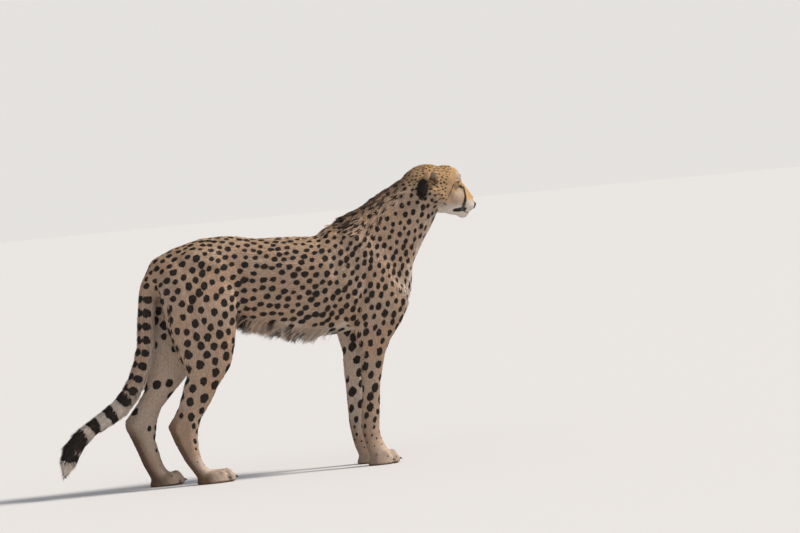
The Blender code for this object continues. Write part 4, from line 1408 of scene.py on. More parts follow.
        chest = smooth(normals[:, 0], 0.35, 0.85) * smooth(points[:, 0], 0.36, 0.44)
        jaw = smooth(-local[:, 2] + 0.25 * local[:, 0], 0.030, 0.062)
        muzzle = smooth(local[:, 0], 0.196, 0.216) * smooth(-local[:, 2], -0.030, -0.008)
        flat = local * (1.0, 0.0, 1.0)
        brow = bell(apart(flat, (0.163, 0.0, 0.088)), 0.012)
        cheek = bell(apart(flat, (0.178, 0.0, 0.036)), 0.014)
        _, place = path_distance(points, catmull(SKELETON.axis(Limb.TAIL), 6))
        tail = lay.on(Limb.TAIL).astype(float)
        rim = surface.masks["hollow"] * smooth(surface.masks["ear_along"], 0.45, 0.85)
        pale = np.maximum.reduce([
            0.80 * trunk * smooth(under + 0.12 * noise, 0.55, 1.0),
            0.60 * trunk * chest,
            0.38 * legs * smooth(-out, -0.15, 0.55) * smooth(height, 0.05, 0.12),
            0.30 * legs * smooth(-height, -0.11, -0.05),
            head * jaw, head * muzzle, head * 0.55 * brow, head * 0.60 * cheek,
            0.75 * tail * smooth(place, 0.52, 0.66),
            0.45 * tail * smooth(normals[:, 0], 0.0, 0.8),
            tail * smooth(place, 0.925, 0.975),
            0.55 * rim,
        ])
        gold = np.maximum.reduce([
            head * smooth(turned[:, 2] + 0.6 * turned[:, 0], -0.2, 0.7),
            head * 0.6 * smooth(local[:, 2], 0.0, 0.05),
            0.30 * smooth(normals[:, 2], 0.2, 0.95) * trunk,
            0.7 * surface.masks["ear"],
        ])
        # the nape: a darker mane, and painted shade over the top of the neck
        nape = bell(points[:, 1] - ORIGIN[1] - 0.006, 0.055) * smooth(normals[:, 2], 0.10, 0.7)
        nape *= smooth(points[:, 0], 0.20, 0.30) * smooth(-points[:, 0], -0.53, -0.46)
        surface.masks["nape"] = nape * trunk
        brown = np.maximum.reduce([
            legs * smooth(-normals[:, 0], -0.25, 0.6) * smooth(-height, -0.27, -0.16) * (points[:, 0] < 0.0),
            0.55 * legs * smooth(-normals[:, 0], 0.0, 0.8) * smooth(-height, -0.20, -0.10),
            # the mane's darker hair, darkened further as painted shade on the nape
            nape,
            0.9 * smooth(-height, -0.010, -0.004),
            # painted shade in the furrows between the toes
            0.9 * surface.masks["dip"],
            # painted shade deep in the ears' hollows
            0.9 * (surface.masks["hollow"] - rim),
        ])
        for name, values in (("pale", pale), ("gold", gold), ("brown", brown)):
            surface.masks[name] = np.clip(values, 0.0, 1.0)

    def paint(self) -> None:
        """Store every marking on the skin."""
        surface = self.surface
        area = 0.5 * np.linalg.norm(crosses(surface.points, surface.triangles), axis=1)
        surface.masks["area"] = sum(
            np.bincount(surface.triangles[:, k], area / 3.0, len(surface.points)) for k in range(3)
        )
        self.shades()
        self.scatter()
        surface.masks["spot"] = self.spots(surface.points, self.few)
        marks = self.marks(surface.points, surface.normals, surface.lay.limb)
        surface.masks["back"] = self.ears()
        surface.masks["mark"] = np.minimum(marks, surface.masks["back"])
        for name in ("pale", "gold", "brown", "spot", "mark"):
            store(self.skin.thing.data, name, surface.masks[name])


# ----------------------------------------------------------------- finishes
class Nodes:
    """A short hand for placing and joining shader nodes in one tree."""

    def __init__(self, tree: bpy.types.NodeTree) -> None:
        """Keep the tree."""
        self.tree = tree

    def add(self, kind: str, **settings: object) -> bpy.types.Node:
        """Place a node and set its own settings."""
        node = self.tree.nodes.new(kind)
        for name, value in settings.items():
            setattr(node, name, value)
        return node

    def feed(self, node: bpy.types.Node, **inputs: object) -> bpy.types.Node:
        """Give a node's inputs, by number or by name, a value or another node's output."""
        for name, value in inputs.items():
            socket = node.inputs[int(name[1:]) if name.startswith("_") else name.replace("_", " ")]
            if isinstance(value, bpy.types.NodeSocket):
                self.tree.links.new(value, socket)
            else:
                socket.default_value = value
        return node

    def number(self, name: str) -> bpy.types.NodeSocket:
        """Return a surface's own attribute as a number."""
        return self.add("ShaderNodeAttribute", attribute_name=name).outputs["Fac"]

    def place(self) -> bpy.types.NodeSocket:
        """Return the place on the piece, in its own axes."""
        return self.add("ShaderNodeTexCoord").outputs["Object"]

    def math(self, operation: str, a: object, b: object = 0.0, c: object = 0.0) -> bpy.types.NodeSocket:
        """Work out one sum of two or three values."""
        return self.feed(self.add("ShaderNodeMath", operation=operation), _0=a, _1=b, _2=c).outputs[0]

    def ease(self, value: object, low: float, high: float) -> bpy.types.NodeSocket:
        """Return 0 at low and 1 at high, eased."""
        node = self.add("ShaderNodeMapRange", interpolation_type="SMOOTHSTEP")
        return self.feed(node, _0=value, _1=low, _2=high).outputs[0]

    def blend(self, share: object, a: object, b: object, way: str = "MIX") -> bpy.types.NodeSocket:
        """Mix two colours."""
        node = self.add("ShaderNodeMix", data_type="RGBA", blend_type=way)
        a, b = ((*value, 1.0) if isinstance(value, tuple) else value for value in (a, b))
        return self.feed(node, _0=share, _6=a, _7=b).outputs[2]

    def noise(self, place: object, scale: float, detail: float = 2.0) -> bpy.types.NodeSocket:
        """Return a noise about 0.5."""
        return self.feed(self.add("ShaderNodeTexNoise"), _0=place, _2=scale, _3=detail).outputs[0]


@dataclass(frozen=True)
class CoatColour:
    """The colours of the hair and how they are laid over one another.

    Attributes:
        tan: The ground colour.
        pale: Of the belly, the chin and the insides of the legs.
        gold: Of the head's top and the back.
        brown: Of the nape and the backs of the hind legs; also painted shade in the toes' furrows, deep in
            the ears and on the nape.
        black: Of the spots and lines.
        rust: Of a few hairs within them.
        warm: What the ground colour's redder patches are multiplied by.
        bleed: How far a marking's edge fades, in metres.
    """

    tan: Colour = (0.462, 0.328, 0.240)
    pale: Colour = (0.710, 0.620, 0.535)
    gold: Colour = (0.530, 0.315, 0.140)
    brown: Colour = (0.132, 0.078, 0.048)
    black: Colour = (0.016, 0.012, 0.010)
    rust: Colour = (0.050, 0.030, 0.018)
    warm: Colour = (1.05, 0.96, 0.88)
    bleed: float = 0.0012

    def group(self) -> bpy.types.NodeTree:
        """Build the shared group that turns masks into the hair's colour.

        Inputs are the masks, the distances to the markings, the hair's own
        tint and how far along the hair a place is.  Outputs are the colour
        and how much of it is marking.
        """
        tree = bpy.data.node_groups.new("Coat Colour", "ShaderNodeTree")
        for name in ("Pale", "Gold", "Brown", "Spot", "Mark", "Tint", "Along"):
            tree.interface.new_socket(name, in_out="INPUT", socket_type="NodeSocketFloat")
        tree.interface.new_socket("Place", in_out="INPUT", socket_type="NodeSocketVector")
        tree.interface.new_socket("Colour", in_out="OUTPUT", socket_type="NodeSocketColor")
        tree.interface.new_socket("Marking", in_out="OUTPUT", socket_type="NodeSocketFloat")
        nodes = Nodes(tree)
        given = nodes.add("NodeGroupInput").outputs
        patch = nodes.noise(given["Place"], 9.0, 3.0)
        redder = tuple(value * share for value, share in zip(self.tan, self.warm))
        ground = nodes.blend(nodes.ease(patch, 0.35, 0.70), self.tan, redder)
        for mask, colour in (("Gold", self.gold), ("Pale", self.pale), ("Brown", self.brown)):
            ground = nodes.blend(given[mask], ground, colour)
        # each hair is darker at its root and lighter towards its tip
        root = nodes.math("MULTIPLY_ADD", given["Along"], 0.42, 0.70)
        value = nodes.math("MULTIPLY_ADD", root, nodes.ease(given["Tint"], -1.2, 1.9), 0.42)
        shade = nodes.add("ShaderNodeCombineColor")
        nodes.feed(shade, _0=value, _1=value, _2=value)
        ground = nodes.blend(1.0, ground, shade.outputs[0], "MULTIPLY")
        edge = nodes.math("MINIMUM", given["Spot"], given["Mark"])
        marking = nodes.ease(edge, self.bleed, -self.bleed)
        black = nodes.blend(nodes.ease(given["Tint"], 0.7, 1.0), self.black, self.rust)
        nodes.feed(nodes.add("NodeGroupOutput"), _0=nodes.blend(marking, ground, black), _1=marking)
        return tree


@dataclass(frozen=True)
class Finish:
    """One finish of the model.

    Attributes:
        name: What it is called.
        colour: Its main colour.
        roughness: Of its surface.
        shine: Its specular level.
    """

    name: str
    colour: Colour = (0.5, 0.5, 0.5)
    roughness: float = 0.6
    shine: float = 0.3

    def start(self) -> tuple[bpy.types.Material, Nodes, bpy.types.Node]:
        """Make the material with its shader set."""
        material = bpy.data.materials.new(self.name)
        material.use_nodes = True
        nodes = Nodes(material.node_tree)
        shader = nodes.tree.nodes["Principled BSDF"]
        nodes.feed(shader, Base_Color=(*self.colour, 1.0), Roughness=self.roughness)
        nodes.feed(shader, Specular_IOR_Level=self.shine)
        return material, nodes, shader

    def bump(self, nodes: Nodes, shader: bpy.types.Node, height: object, depth: float, share: float) -> None:
        """Give the shader a relief of a depth in metres."""
        relief = nodes.feed(nodes.add("ShaderNodeBump"), Strength=share, Distance=depth, Height=height)
        nodes.feed(shader, Normal=relief.outputs["Normal"])


@dataclass(frozen=True)
class HairFinish(Finish):
    """The coat's own finish, on the locks and, with a relief, on the skin."""

    def make(self, colours: bpy.types.NodeTree, bare: bool) -> bpy.types.Material:
        """Build the material.

        Args:
            colours: The shared group.
            bare: Whether it is for the skin, which has no hairs of its own.

        Returns:
            The material.
        """
        material, nodes, shader = self.start()
        place = nodes.place()
        masks = {name: nodes.number(name.lower()) for name in ("Pale", "Gold", "Brown", "Spot", "Mark")}
        box = nodes.feed(nodes.add("ShaderNodeGroup", node_tree=colours), Place=place, **masks)
        if bare:
            fine = nodes.noise(place, 420.0, 3.0)
            nodes.feed(box, Tint=fine, Along=0.35)
            self.bump(nodes, shader, fine, 0.0012, 0.5)
        else:
            nodes.feed(box, Tint=nodes.number("tint"), Along=nodes.number("along"))
        rough = nodes.math("MULTIPLY_ADD", box.outputs["Marking"], -0.12, self.roughness)
        nodes.feed(shader, Base_Color=box.outputs["Colour"], Roughness=rough)
        return material


@dataclass(frozen=True)
class EyeFinish(Finish):
    """The eye: a dark pupil, an amber iris with fine rays, a dark ring and the white.

    Attributes:
        pupil: The pupil's edge, as an angle from the gaze.
        iris: The same for the iris.
    """

    pupil: float = 0.25
    iris: float = 0.66

    def make(self) -> bpy.types.Material:
        """Build the material from the angle and the turn stored on the eye."""
        material, nodes, shader = self.start()
        angle = nodes.number("angle")
        rays = nodes.add("ShaderNodeTexNoise", noise_dimensions="1D")
        nodes.feed(rays, _1=nodes.math("MULTIPLY", nodes.number("turn"), 26.0), _2=1.0, _3=3.0)
        streak = nodes.ease(rays.outputs[0], 0.30, 0.70)
        iris = nodes.blend(streak, (0.34, 0.150, 0.022), (0.60, 0.300, 0.055))
        ring = nodes.ease(angle, self.iris * 0.72, self.iris)
        iris = nodes.blend(ring, iris, (0.055, 0.022, 0.008))
        pupil = nodes.ease(angle, self.pupil + 0.03, self.pupil - 0.02)
        iris = nodes.blend(pupil, iris, (0.002, 0.002, 0.002))
        colour = nodes.blend(nodes.ease(angle, self.iris, self.iris + 0.07), iris, (0.16, 0.115, 0.085))
        nodes.feed(shader, Base_Color=colour, Coat_Weight=1.0, Coat_Roughness=0.03)
        return material


@dataclass(frozen=True)
class LeatherFinish(Finish):
    """The bare leather of the nose: fine cells that stand a little proud."""

    def make(self) -> bpy.types.Material:
        """Build the material."""
        material, nodes, shader = self.start()
        place = nodes.place()
        cells = nodes.feed(nodes.add("ShaderNodeTexVoronoi", feature="SMOOTH_F1"), _0=place, _2=900.0)
        self.bump(nodes, shader, cells.outputs["Distance"], 0.0005, 0.7)
        worn = nodes.ease(nodes.noise(place, 130.0), 0.35, 0.75)
        nodes.feed(shader, Base_Color=nodes.blend(worn, self.colour, (0.040, 0.028, 0.024)))
        return material


@dataclass(frozen=True)
class HornFinish(Finish):
    """The claws: dark horn, paler and duller where it is worn, with lengthwise streaks."""

    def make(self) -> bpy.types.Material:
        """Build the material."""
        material, nodes, shader = self.start()
        drawn = nodes.feed(nodes.add("ShaderNodeMapping"), _0=nodes.place(), _3=(60.0, 900.0, 240.0))
        streak = nodes.noise(drawn.outputs[0], 1.0, 3.0)
        colour = nodes.blend(nodes.ease(streak, 0.35, 0.8), self.colour, (0.115, 0.080, 0.055))
        nodes.feed(shader, Base_Color=colour, Roughness=nodes.ease(streak, -0.6, 1.6))
        self.bump(nodes, shader, streak, 0.0003, 0.5)
        return material


@dataclass(frozen=True)
class WhiskerFinish(Finish):
    """The whiskers: stiff pale hair, greyer at the root."""

    def make(self) -> bpy.types.Material:
        """Build the material."""
        material, nodes, shader = self.start()
        root = nodes.ease(nodes.number("along"), 0.0, 0.5)
        nodes.feed(shader, Base_Color=nodes.blend(root, (0.30, 0.25, 0.20), self.colour))
        return material


# -------------------------------------------------------------------- locks
@dataclass(frozen=True)
class Cut:
    """The shape of a lock, in parts of its own length, breadth and lift.

    Attributes:
        stations: How far along the lock its rings stand.
        breadths: The rings' breadths.
        rise: The tips' height comes as this power of the way along.
        share: How much of the way along it counts where its markings are read.
        thick: The rings' height over their breadth.
    """

    stations: tuple[float, ...] = (0.40,)
    breadths: tuple[float, ...] = (1.0,)
    rise: float = 0.8
    share: float = 0.85
    thick: float = 0.30

    def triangles(self) -> Rows:
        """Return the closed lock's triangles: root point, rings of three, tip point."""
        rows = [(0, 2, 1), (0, 3, 2), (0, 1, 3)]
        for k in range(len(self.stations) - 1):
            low = 1 + 3 * k
            for a, b in ((0, 1), (1, 2), (2, 0)):
                rows.append((low + a, low + b, low + 3 + b))
                rows.append((low + a, low + 3 + b, low + 3 + a))
        last, tip = 1 + 3 * (len(self.stations) - 1), 1 + 3 * len(self.stations)
        rows += [(last, last + 1, tip), (last + 1, last + 2, tip), (last + 2, last, tip)]
        return np.array(rows)

    def frame(self) -> tuple[Rows, Rows, Rows, Rows]:
        """Return for each vertex: how far along, aside and up it is, and its place in a patch."""
        rows = [(0.0, 0.0, 0.0, 0.0, -1.0)]
        for s, breadth in zip(self.stations, self.breadths):
            half, top, y = 0.5 * breadth, self.thick * breadth, 1.5 * s - 0.75
            rows += [(s, -half, 0.0, -0.9, y), (s, 0.0, top, 0.0, y + 0.25), (s, half, 0.0, 0.9, y)]
        rows.append((1.0, 0.0, 0.0, 0.0, 1.0))
        along, aside, up, *patch = np.array(rows).T
        return along, aside, up, np.stack(patch, axis=1)


SHORT = Cut()
LONG = Cut((0.18, 0.48, 0.78), (0.9, 1.0, 0.62), 0.6, 0.35, 0.35)


@dataclass
class Tuft:
    """Many locks of one piece: their roots and their measures, as arrays."""

    root: Rows
    normal: Rows
    lie: Rows
    length: Rows
    width: Rows
    lift: Rows
    droop: Rows
    values: dict[str, Rows]
    patch: Rows
    vertex: Rows
    pull: Rows

    def __len__(self) -> int:
        """Return how many there are."""
        return len(self.root)

    def pick(self, which: Rows) -> "Tuft":
        """Return some of them."""
        own = {part.name: getattr(self, part.name) for part in fields(self) if part.name != "values"}
        values = {name: column[which] for name, column in self.values.items()}
        return Tuft(values=values, **{name: rows[which] for name, rows in own.items()})

    def clump(self, each: int, share: float, chance: np.random.Generator) -> None:
        """Draw the tips together: each lock leans to the tip of the nearest of a few leaders.

        Args:
            each: How many locks follow one leader, on the mean.
            share: How much of the way to its tip they go.
            chance: The source of chance.
        """
        leaders = chance.choice(len(self), max(len(self) // each, 1), replace=False)
        tip = self.root + self.lie * self.length[:, None] + self.normal * self.lift[:, None]
        leader = leaders[apart(self.root[:, None], self.root[None, leaders]).argmin(axis=1)]
        self.pull = (share * chance.uniform(0.5, 1.1, len(self)))[:, None] * (tip[leader] - tip)


@dataclass
class Barber:
    """Grows the locks over the skin and cuts them to the coat of each place.

    Attributes:
        surface: The skin as arrays.
        markings: What is black.
        finish: The locks' material.
        seed: For the places and measures of the locks.
        cover: How many locks lie over any place, on the mean.
        sink: How far a root stands inside the skin.
        patch: The size of a lock's share of the unwrap.
        most: How many locks a piece of the short coat may have.
        each: How many locks of the long hair come together in one tip.
        FIELDS: The masks that a lock takes from the skin.
    """

    surface: Surface
    markings: Markings
    finish: bpy.types.Material
    seed: int = 3
    cover: float = 1.94
    sink: float = 0.0007
    patch: float = 0.0015
    most: int = 32500
    each: int = 8

    FIELDS = ("pale", "gold", "brown", "back", "ear", "hollow", "ear_along")

    def sow(self, density: Rows, chance: np.random.Generator) -> tuple[Rows, Rows]:
        """Scatter roots: as many on a triangle as its area times the density says.

        Args:
            density: Roots a square metre, at each vertex.
            chance: The source of chance.

        Returns:
            The triangles' numbers and the roots' weights within them.
        """
        area = 0.5 * np.linalg.norm(crosses(self.surface.points, self.surface.triangles), axis=1)
        wanted = area * density[self.surface.triangles].mean(axis=1)
        count = np.floor(wanted + chance.uniform(0.0, 1.0, len(wanted))).astype(int)
        which = np.repeat(np.arange(len(count)), count)
        a, b = np.sqrt(chance.uniform(0.0, 1.0, len(which))), chance.uniform(0.0, 1.0, len(which))
        return which, np.stack([1.0 - a, a * (1.0 - b), a * b], axis=1)

    def tufts(
        self, density: Rows, shape: Rows, lie: Rows,
        chance: np.random.Generator, stray: float,
    ) -> Tuft:
        """Grow tufts with the measures of their places.

        Args:
            density: Roots a square metre, at each vertex.
            shape: Length, width, lift and droop at each vertex, in metres.
            lie: The lie at each vertex.
            chance: The source of chance.
            stray: How far a tuft may turn aside, in radians.

        Returns:
            The tufts.
        """
        surface = self.surface
        which, weight = self.sow(density, chance)
        rows = surface.triangles[which]

        def at(values: Rows) -> Rows:
            """Return what the vertices say at the roots."""
            if values.ndim == 1:
                return (values[rows] * weight).sum(axis=1)
            return np.einsum("nkc,nk->nc", values[rows], weight)

        count = len(which)
        root, normal, way = at(surface.points), unit(at(surface.normals)), at(lie)
        way = unit(way - normal * dot(way, normal)[:, None])
        turn = stray * np.clip(chance.normal(0.0, 0.55, count) + 0.35 * ripple(root, 0.030, 91), -1.3, 1.3)
        way = way * np.cos(turn)[:, None] + np.cross(normal, way) * np.sin(turn)[:, None]
        measures = at(shape)
        size = chance.uniform(0.72, 1.18, count)
        values = {name: at(surface.masks[name]) for name in self.FIELDS}
        values["tint"] = chance.uniform(0.0, 1.0, count)
        values["limb"] = surface.lay.limb[rows[:, 0]]
        first = rows[:, 0]
        patch = np.stack([(surface.lay.about[first] / math.pi + 1.0) * 0.5, surface.lay.along[first]], axis=1)
        return Tuft(
            root, normal, way, measures[:, 0] * size, measures[:, 1] * chance.uniform(0.75, 1.2, count),
            measures[:, 2] * chance.uniform(0.35, 1.15, count), measures[:, 3], values, patch, first,
            np.zeros((count, 3)),
        )

    def dye(self, tuft: Tuft, s: Rows, share: float) -> tuple[Rows, Rows]:
        """Read the markings over the skin that a lock covers.

        A lock takes them where its own point lies, a little short of it, so
        that an edge stays in place and is only frayed.

        Args:
            tuft: The locks.
            s: How far along a lock each of its vertices is.
            share: How much of the way along the lock counts.

        Returns:
            The distances to spots and to other marks, one a vertex.
        """
        fray = (0.0016 * (tuft.values["tint"] - 0.5))[:, None] + (share * tuft.length)[:, None] * s
        points = (tuft.root[:, None] + fray[..., None] * tuft.lie[:, None]).reshape(-1, 3)
        owner = np.repeat(np.arange(len(tuft)), len(s))
        spot = self.markings.spots(points, self.markings.few[tuft.vertex[owner]])
        mark = self.markings.marks(points, tuft.normal[owner], tuft.values["limb"][owner])
        ear = tuft.values["ear"][owner] > 0.5
        return np.where(ear, 0.02, spot), np.where(ear, tuft.values["back"][owner], mark)

    def weave(self, name: str, tuft: Tuft, cut: Cut) -> bpy.types.Object:
        """Make one piece of coat from tufts.

        A point of a lock is root - sink n + s length l + lift s^rise n
        - droop s^2 z + pull s^1.5, moved aside and up within its ring.

        Args:
            name: The piece's name.
            tuft: The roots and measures.
            cut: The shape of each lock.

        Returns:
            The piece.
        """
        s, aside, up, spread = cut.frame()
        across = np.cross(tuft.normal, tuft.lie)
        normal, lie = tuft.normal[:, None], tuft.lie[:, None]
        points = tuft.root[:, None] - self.sink * normal
        points = points + (tuft.length[:, None] * s)[..., None] * lie
        points = points + (tuft.lift[:, None] * s ** cut.rise)[..., None] * normal
        points = points + (tuft.width[:, None] * aside)[..., None] * across[:, None]
        points = points + (tuft.width[:, None] * up)[..., None] * normal
        points[..., 2] -= tuft.droop[:, None] * s ** 2
        points = points + tuft.pull[:, None] * (s ** 1.5)[:, None]
        points[..., 2] = np.maximum(points[..., 2], 0.0006)
        own = np.sign(aside)[:, None] * across[:, None] + (up > 0.0)[:, None] * normal
        shading = unit(0.76 * normal + 0.30 * own + 0.16 * lie * (s > 0.9)[:, None])
        count, size = len(tuft), len(s)
        shape = outward(points[0], cut.triangles())
        faces = (shape[None] + (np.arange(count) * size)[:, None, None]).reshape(-1, 3)
        piece = mesh_object(name, points.reshape(-1, 3), faces)
        for value in ("pale", "gold", "brown", "tint"):
            store(piece.data, value, np.repeat(tuft.values[value], size))
        spot, mark = self.dye(tuft, s, cut.share)
        for value, rows in (("spot", spot), ("mark", mark), ("along", np.tile(s, count))):
            store(piece.data, value, rows)
        place = 0.01 + 0.98 * tuft.patch[:, None] + self.patch * spread
        layer = piece.data.uv_layers.new(name="OFBake")
        corners = np.clip(place, 0.0, 1.0)[:, shape.ravel()]
        layer.data.foreach_set("uv", corners.astype(np.float32).ravel())
        piece.data.normals_split_custom_set_from_vertices(shading.reshape(-1, 3).astype(np.float32))
        return dress(piece, self.finish)

    @staticmethod
    def part_grown() -> float:
        return 1.0

    def bare(self) -> Rows:
        """Return where hair grows: 0 on the eyes, the nose, the lips' edge and the soles."""
        surface = self.surface
        points = surface.points
        grows = smooth(points[:, 2], 0.003, 0.007)
        for side in SIDES.values():
            edge, ahead = LIDS.margin(points, side)
            near = (apart(points, LIDS.centre(side)) < 2.1 * LIDS.radius) & (ahead > 0.1)
            grows = np.where(near, grows * smooth(edge, 0.15, 0.27), grows)
        grows = grows * smooth(self.markings.nose_edge(points), -0.0010, 0.0006)
        deep = surface.masks["hollow"] * (1.0 - smooth(surface.masks["ear_along"], 0.55, 0.85))
        return grows * (1.0 - 0.85 * deep)

    def short_coat(self) -> None:
        """Cover the whole skin with the short coat, one piece a limb and side."""
        surface = self.surface
        chance = np.random.default_rng(self.seed)
        traits = surface.lay.traits * MM
        covered = 0.5 * traits[:, LENGTH] * traits[:, WIDTH]
        density = self.cover / covered * self.bare() * self.part_grown()
        shape = np.column_stack([traits[:, [LENGTH, WIDTH, LIFT]], np.zeros(len(traits))])
        tuft = self.tufts(density, shape, surface.lie, chance, 0.26)
        pieces: list[tuple[str, Rows]] = []
        for number, limb in enumerate(Limb):
            own = tuft.values["limb"] == number
            if limb in (Limb.HEAD, Limb.TRUNK, Limb.NECK):
                middle = HEAD.local(tuft.root)[:, 1] if limb is Limb.HEAD else tuft.root[:, 1] - ORIGIN[1]
                pieces.append((f"coat_{limb.value}_left", own & (middle > 0.0)))
                pieces.append((f"coat_{limb.value}_right", own & (middle <= 0.0)))
            else:
                pieces.append((f"coat_{limb.value}", own))
        for name, own in pieces:
            rows = np.flatnonzero(own)
            if len(rows) > self.most:
                LOG.info("%s: thinned from %d locks", name, len(rows))
                rows = chance.choice(rows, self.most, replace=False)
            part = tuft.pick(rows)
            part.patch = self.spread_map(part.patch)
            self.weave(name, part, SHORT)

    @staticmethod
    def spread_map(patch: Rows) -> Rows:
        """Stretch a piece's share of the unwrap over the whole map."""
        low, high = patch.min(axis=0), patch.max(axis=0)
        return (patch - low) / np.maximum(high - low, 1e-6)

    def long_hair(self) -> None:
        """Add the long hair: mane, chest, belly fringe, breeches, ears and tail's end."""
        surface = self.surface
        chance = np.random.default_rng(self.seed + 5)
        points, normals, lay = surface.points, surface.normals, surface.lay
        plan = points - ORIGIN
        local = HEAD.local(points)
        count = len(points)
        trunk = (lay.on(Limb.TRUNK) | lay.on(Limb.NECK)).astype(float)
        down = np.array((0.0, 0.0, -1.0))
        back = np.array((-1.0, 0.0, 0.0))

        def grow(
            name: str, where: Rows, per: float, shape: Sequence,
            lie: Rows, stray: float, join: float,
        ) -> None:
            """Grow one piece, with its tips drawn together by the last number."""
            measures = np.zeros((count, 4))
            measures[:] = np.stack([np.broadcast_to(v, count) for v in shape], axis=1)
            tuft = self.tufts(per * self.part_grown() * where, measures, lie, chance, stray)
            if len(tuft):
                tuft.clump(self.each, join, chance)
                tuft.patch = self.spread_map(tuft.patch)
                self.weave(name, tuft, LONG)

        crest = bell(plan[:, 1] - 0.006, 0.045) * smooth(normals[:, 2], 0.10, 0.55) * trunk
        mane = crest * smooth(plan[:, 0], 0.17, 0.25) * smooth(-plan[:, 0], -0.47, -0.42)
        rise = 0.006 + 0.006 * smooth(-plan[:, 0], -0.29, -0.22) + 0.006 * ripple(points, 0.026, 55)
        grow("coat_mane", mane, 165000.0, (0.031, 0.0032, rise, 0.003), surface.lie, 0.45, 0.55)

        under = smooth(-normals[:, 2], 0.45, 0.85) * trunk
        fringe = under * smooth(plan[:, 0], -0.20, -0.12) * smooth(-plan[:, 0], -0.16, -0.08)
        fringe *= smooth(plan[:, 2], 0.42, 0.45) * bell(plan[:, 1], 0.045)
        fall = np.tile(unit(0.55 * down + 0.75 * back), (count, 1))
        droop = 0.022 + 0.007 * ripple(points, 0.05, 31)
        length = np.maximum(0.042 + 0.016 * ripple(points, 0.028, 17), 0.016)
        fringe = fringe * smooth(ripple(points, 0.030, 18), -0.9, 0.3)
        grow("coat_fringe", fringe, 115000.0, (length, 0.0025, 0.010, droop), fall, 0.50, 0.70)

        chest = smooth(normals[:, 0], 0.25, 0.75) * trunk * smooth(plan[:, 0], 0.30, 0.34)
        chest *= smooth(-plan[:, 2], -0.80, -0.72) * smooth(plan[:, 2], 0.57, 0.64)
        grow("coat_chest", chest, 55000.0, (0.019, 0.0029, 0.0035, 0.001), surface.lie, 0.30, 0.30)

        legs = np.zeros(count)
        for side in SIDES:
            legs = np.maximum(legs, lay.on(Limb(f"hind_{side}")) * smooth(-normals[:, 0], 0.4, 0.8))
            legs = np.maximum(legs, 0.7 * lay.on(Limb(f"fore_{side}")) * smooth(-normals[:, 0], 0.5, 0.9))
        breech = legs * smooth(plan[:, 2], 0.24, 0.38) * smooth(-plan[:, 2], -0.66, -0.55)
        grow("coat_breeches", breech, 50000.0, (0.019, 0.0026, 0.005, 0.002), surface.lie, 0.25, 0.40)

        rim = surface.masks["hollow"] * smooth(surface.masks["ear_along"], 0.12, 0.2)
        rim *= smooth(-surface.masks["ear_along"], -0.92, -0.8)
        across = np.stack([18.0 * (0.050 - local[:, 0]), 0.0 * crest, 1.0 + 0.0 * crest], axis=1)
        grow("coat_ears", rim, 150000.0, (0.013, 0.0010, 0.0045, 0.0), HEAD.aim(unit(across)), 0.35, 0.35)

        cheek = lay.on(Limb.HEAD) * smooth(-local[:, 0], -0.125, -0.085) * smooth(local[:, 0], 0.01, 0.05)
        cheek *= smooth(-local[:, 2], -0.055, -0.020) * (surface.masks["ear"] < 0.5)
        grow("coat_ruff", cheek, 150000.0, (0.016, 0.0022, 0.0045, 0.001), surface.lie, 0.28, 0.35)

        _, place = path_distance(points, catmull(SKELETON.axis(Limb.TAIL), 6))
        end = lay.on(Limb.TAIL) * (0.25 + 0.75 * smooth(place, 0.72, 0.85)) * smooth(place, 0.50, 0.62)
        length = 0.017 + 0.009 * smooth(place, 0.75, 0.95)
        grow("coat_brush", end, 90000.0, (length, 0.0028, 0.0055, 0.003), surface.lie, 0.32, 0.45)


# ----------------------------------------------------- eyes, nose and claws
def sheet_faces(rows: int, columns: int, around: bool) -> Rows:
    """Return the triangles of a grid of points.

    Args:
        rows: Points one way.
        columns: Points the other way.
        around: Whether the last column meets the first.

    Returns:
        Vertex numbers, three a row.
    """
    last = columns if around else columns - 1
    row, column = np.meshgrid(np.arange(rows - 1), np.arange(last), indexing="ij")
    after = (column + 1) % columns
    a, b = row * columns + column, row * columns + after
    c, d = a + columns, b + columns
    return np.vstack([np.stack([a, b, d], -1).reshape(-1, 3), np.stack([a, d, c], -1).reshape(-1, 3)])


def closed_tube(rings: Rows) -> tuple[Rows, Rows]:
    """Close a stack of rings with a point at each end.

    Args:
        rings: Points by ring and by place round it.

    Returns:
        Points and triangles, facing outwards.
    """
    rows, columns = rings.shape[:2]
    points = np.vstack([rings.reshape(-1, 3), rings[0].mean(axis=0), rings[-1].mean(axis=0)])
    column = np.arange(columns)
    after = (column + 1) % columns
    first, last, low = rows * columns, rows * columns + 1, (rows - 1) * columns
    faces = np.vstack([
        sheet_faces(rows, columns, True),
        np.stack([after, column, np.full(columns, first)], axis=1),
        np.stack([low + column, low + after, np.full(columns, last)], axis=1),
    ])
    return points, outward(points, faces)


def circle(steps: int) -> Rows:
    """Return even angles round a full turn."""
    return np.linspace(0.0, 2.0 * math.pi, steps + 1)[:-1]


def join(shapes: Sequence[tuple[Rows, Rows]]) -> tuple[Rows, Rows]:
    """Put several meshes' points and faces in one."""
    starts = np.cumsum([0] + [len(points) for points, _ in shapes[:-1]])
    return (
        np.vstack([points for points, _ in shapes]),
        np.vstack([faces + start for start, (_, faces) in zip(starts, shapes)]),
    )


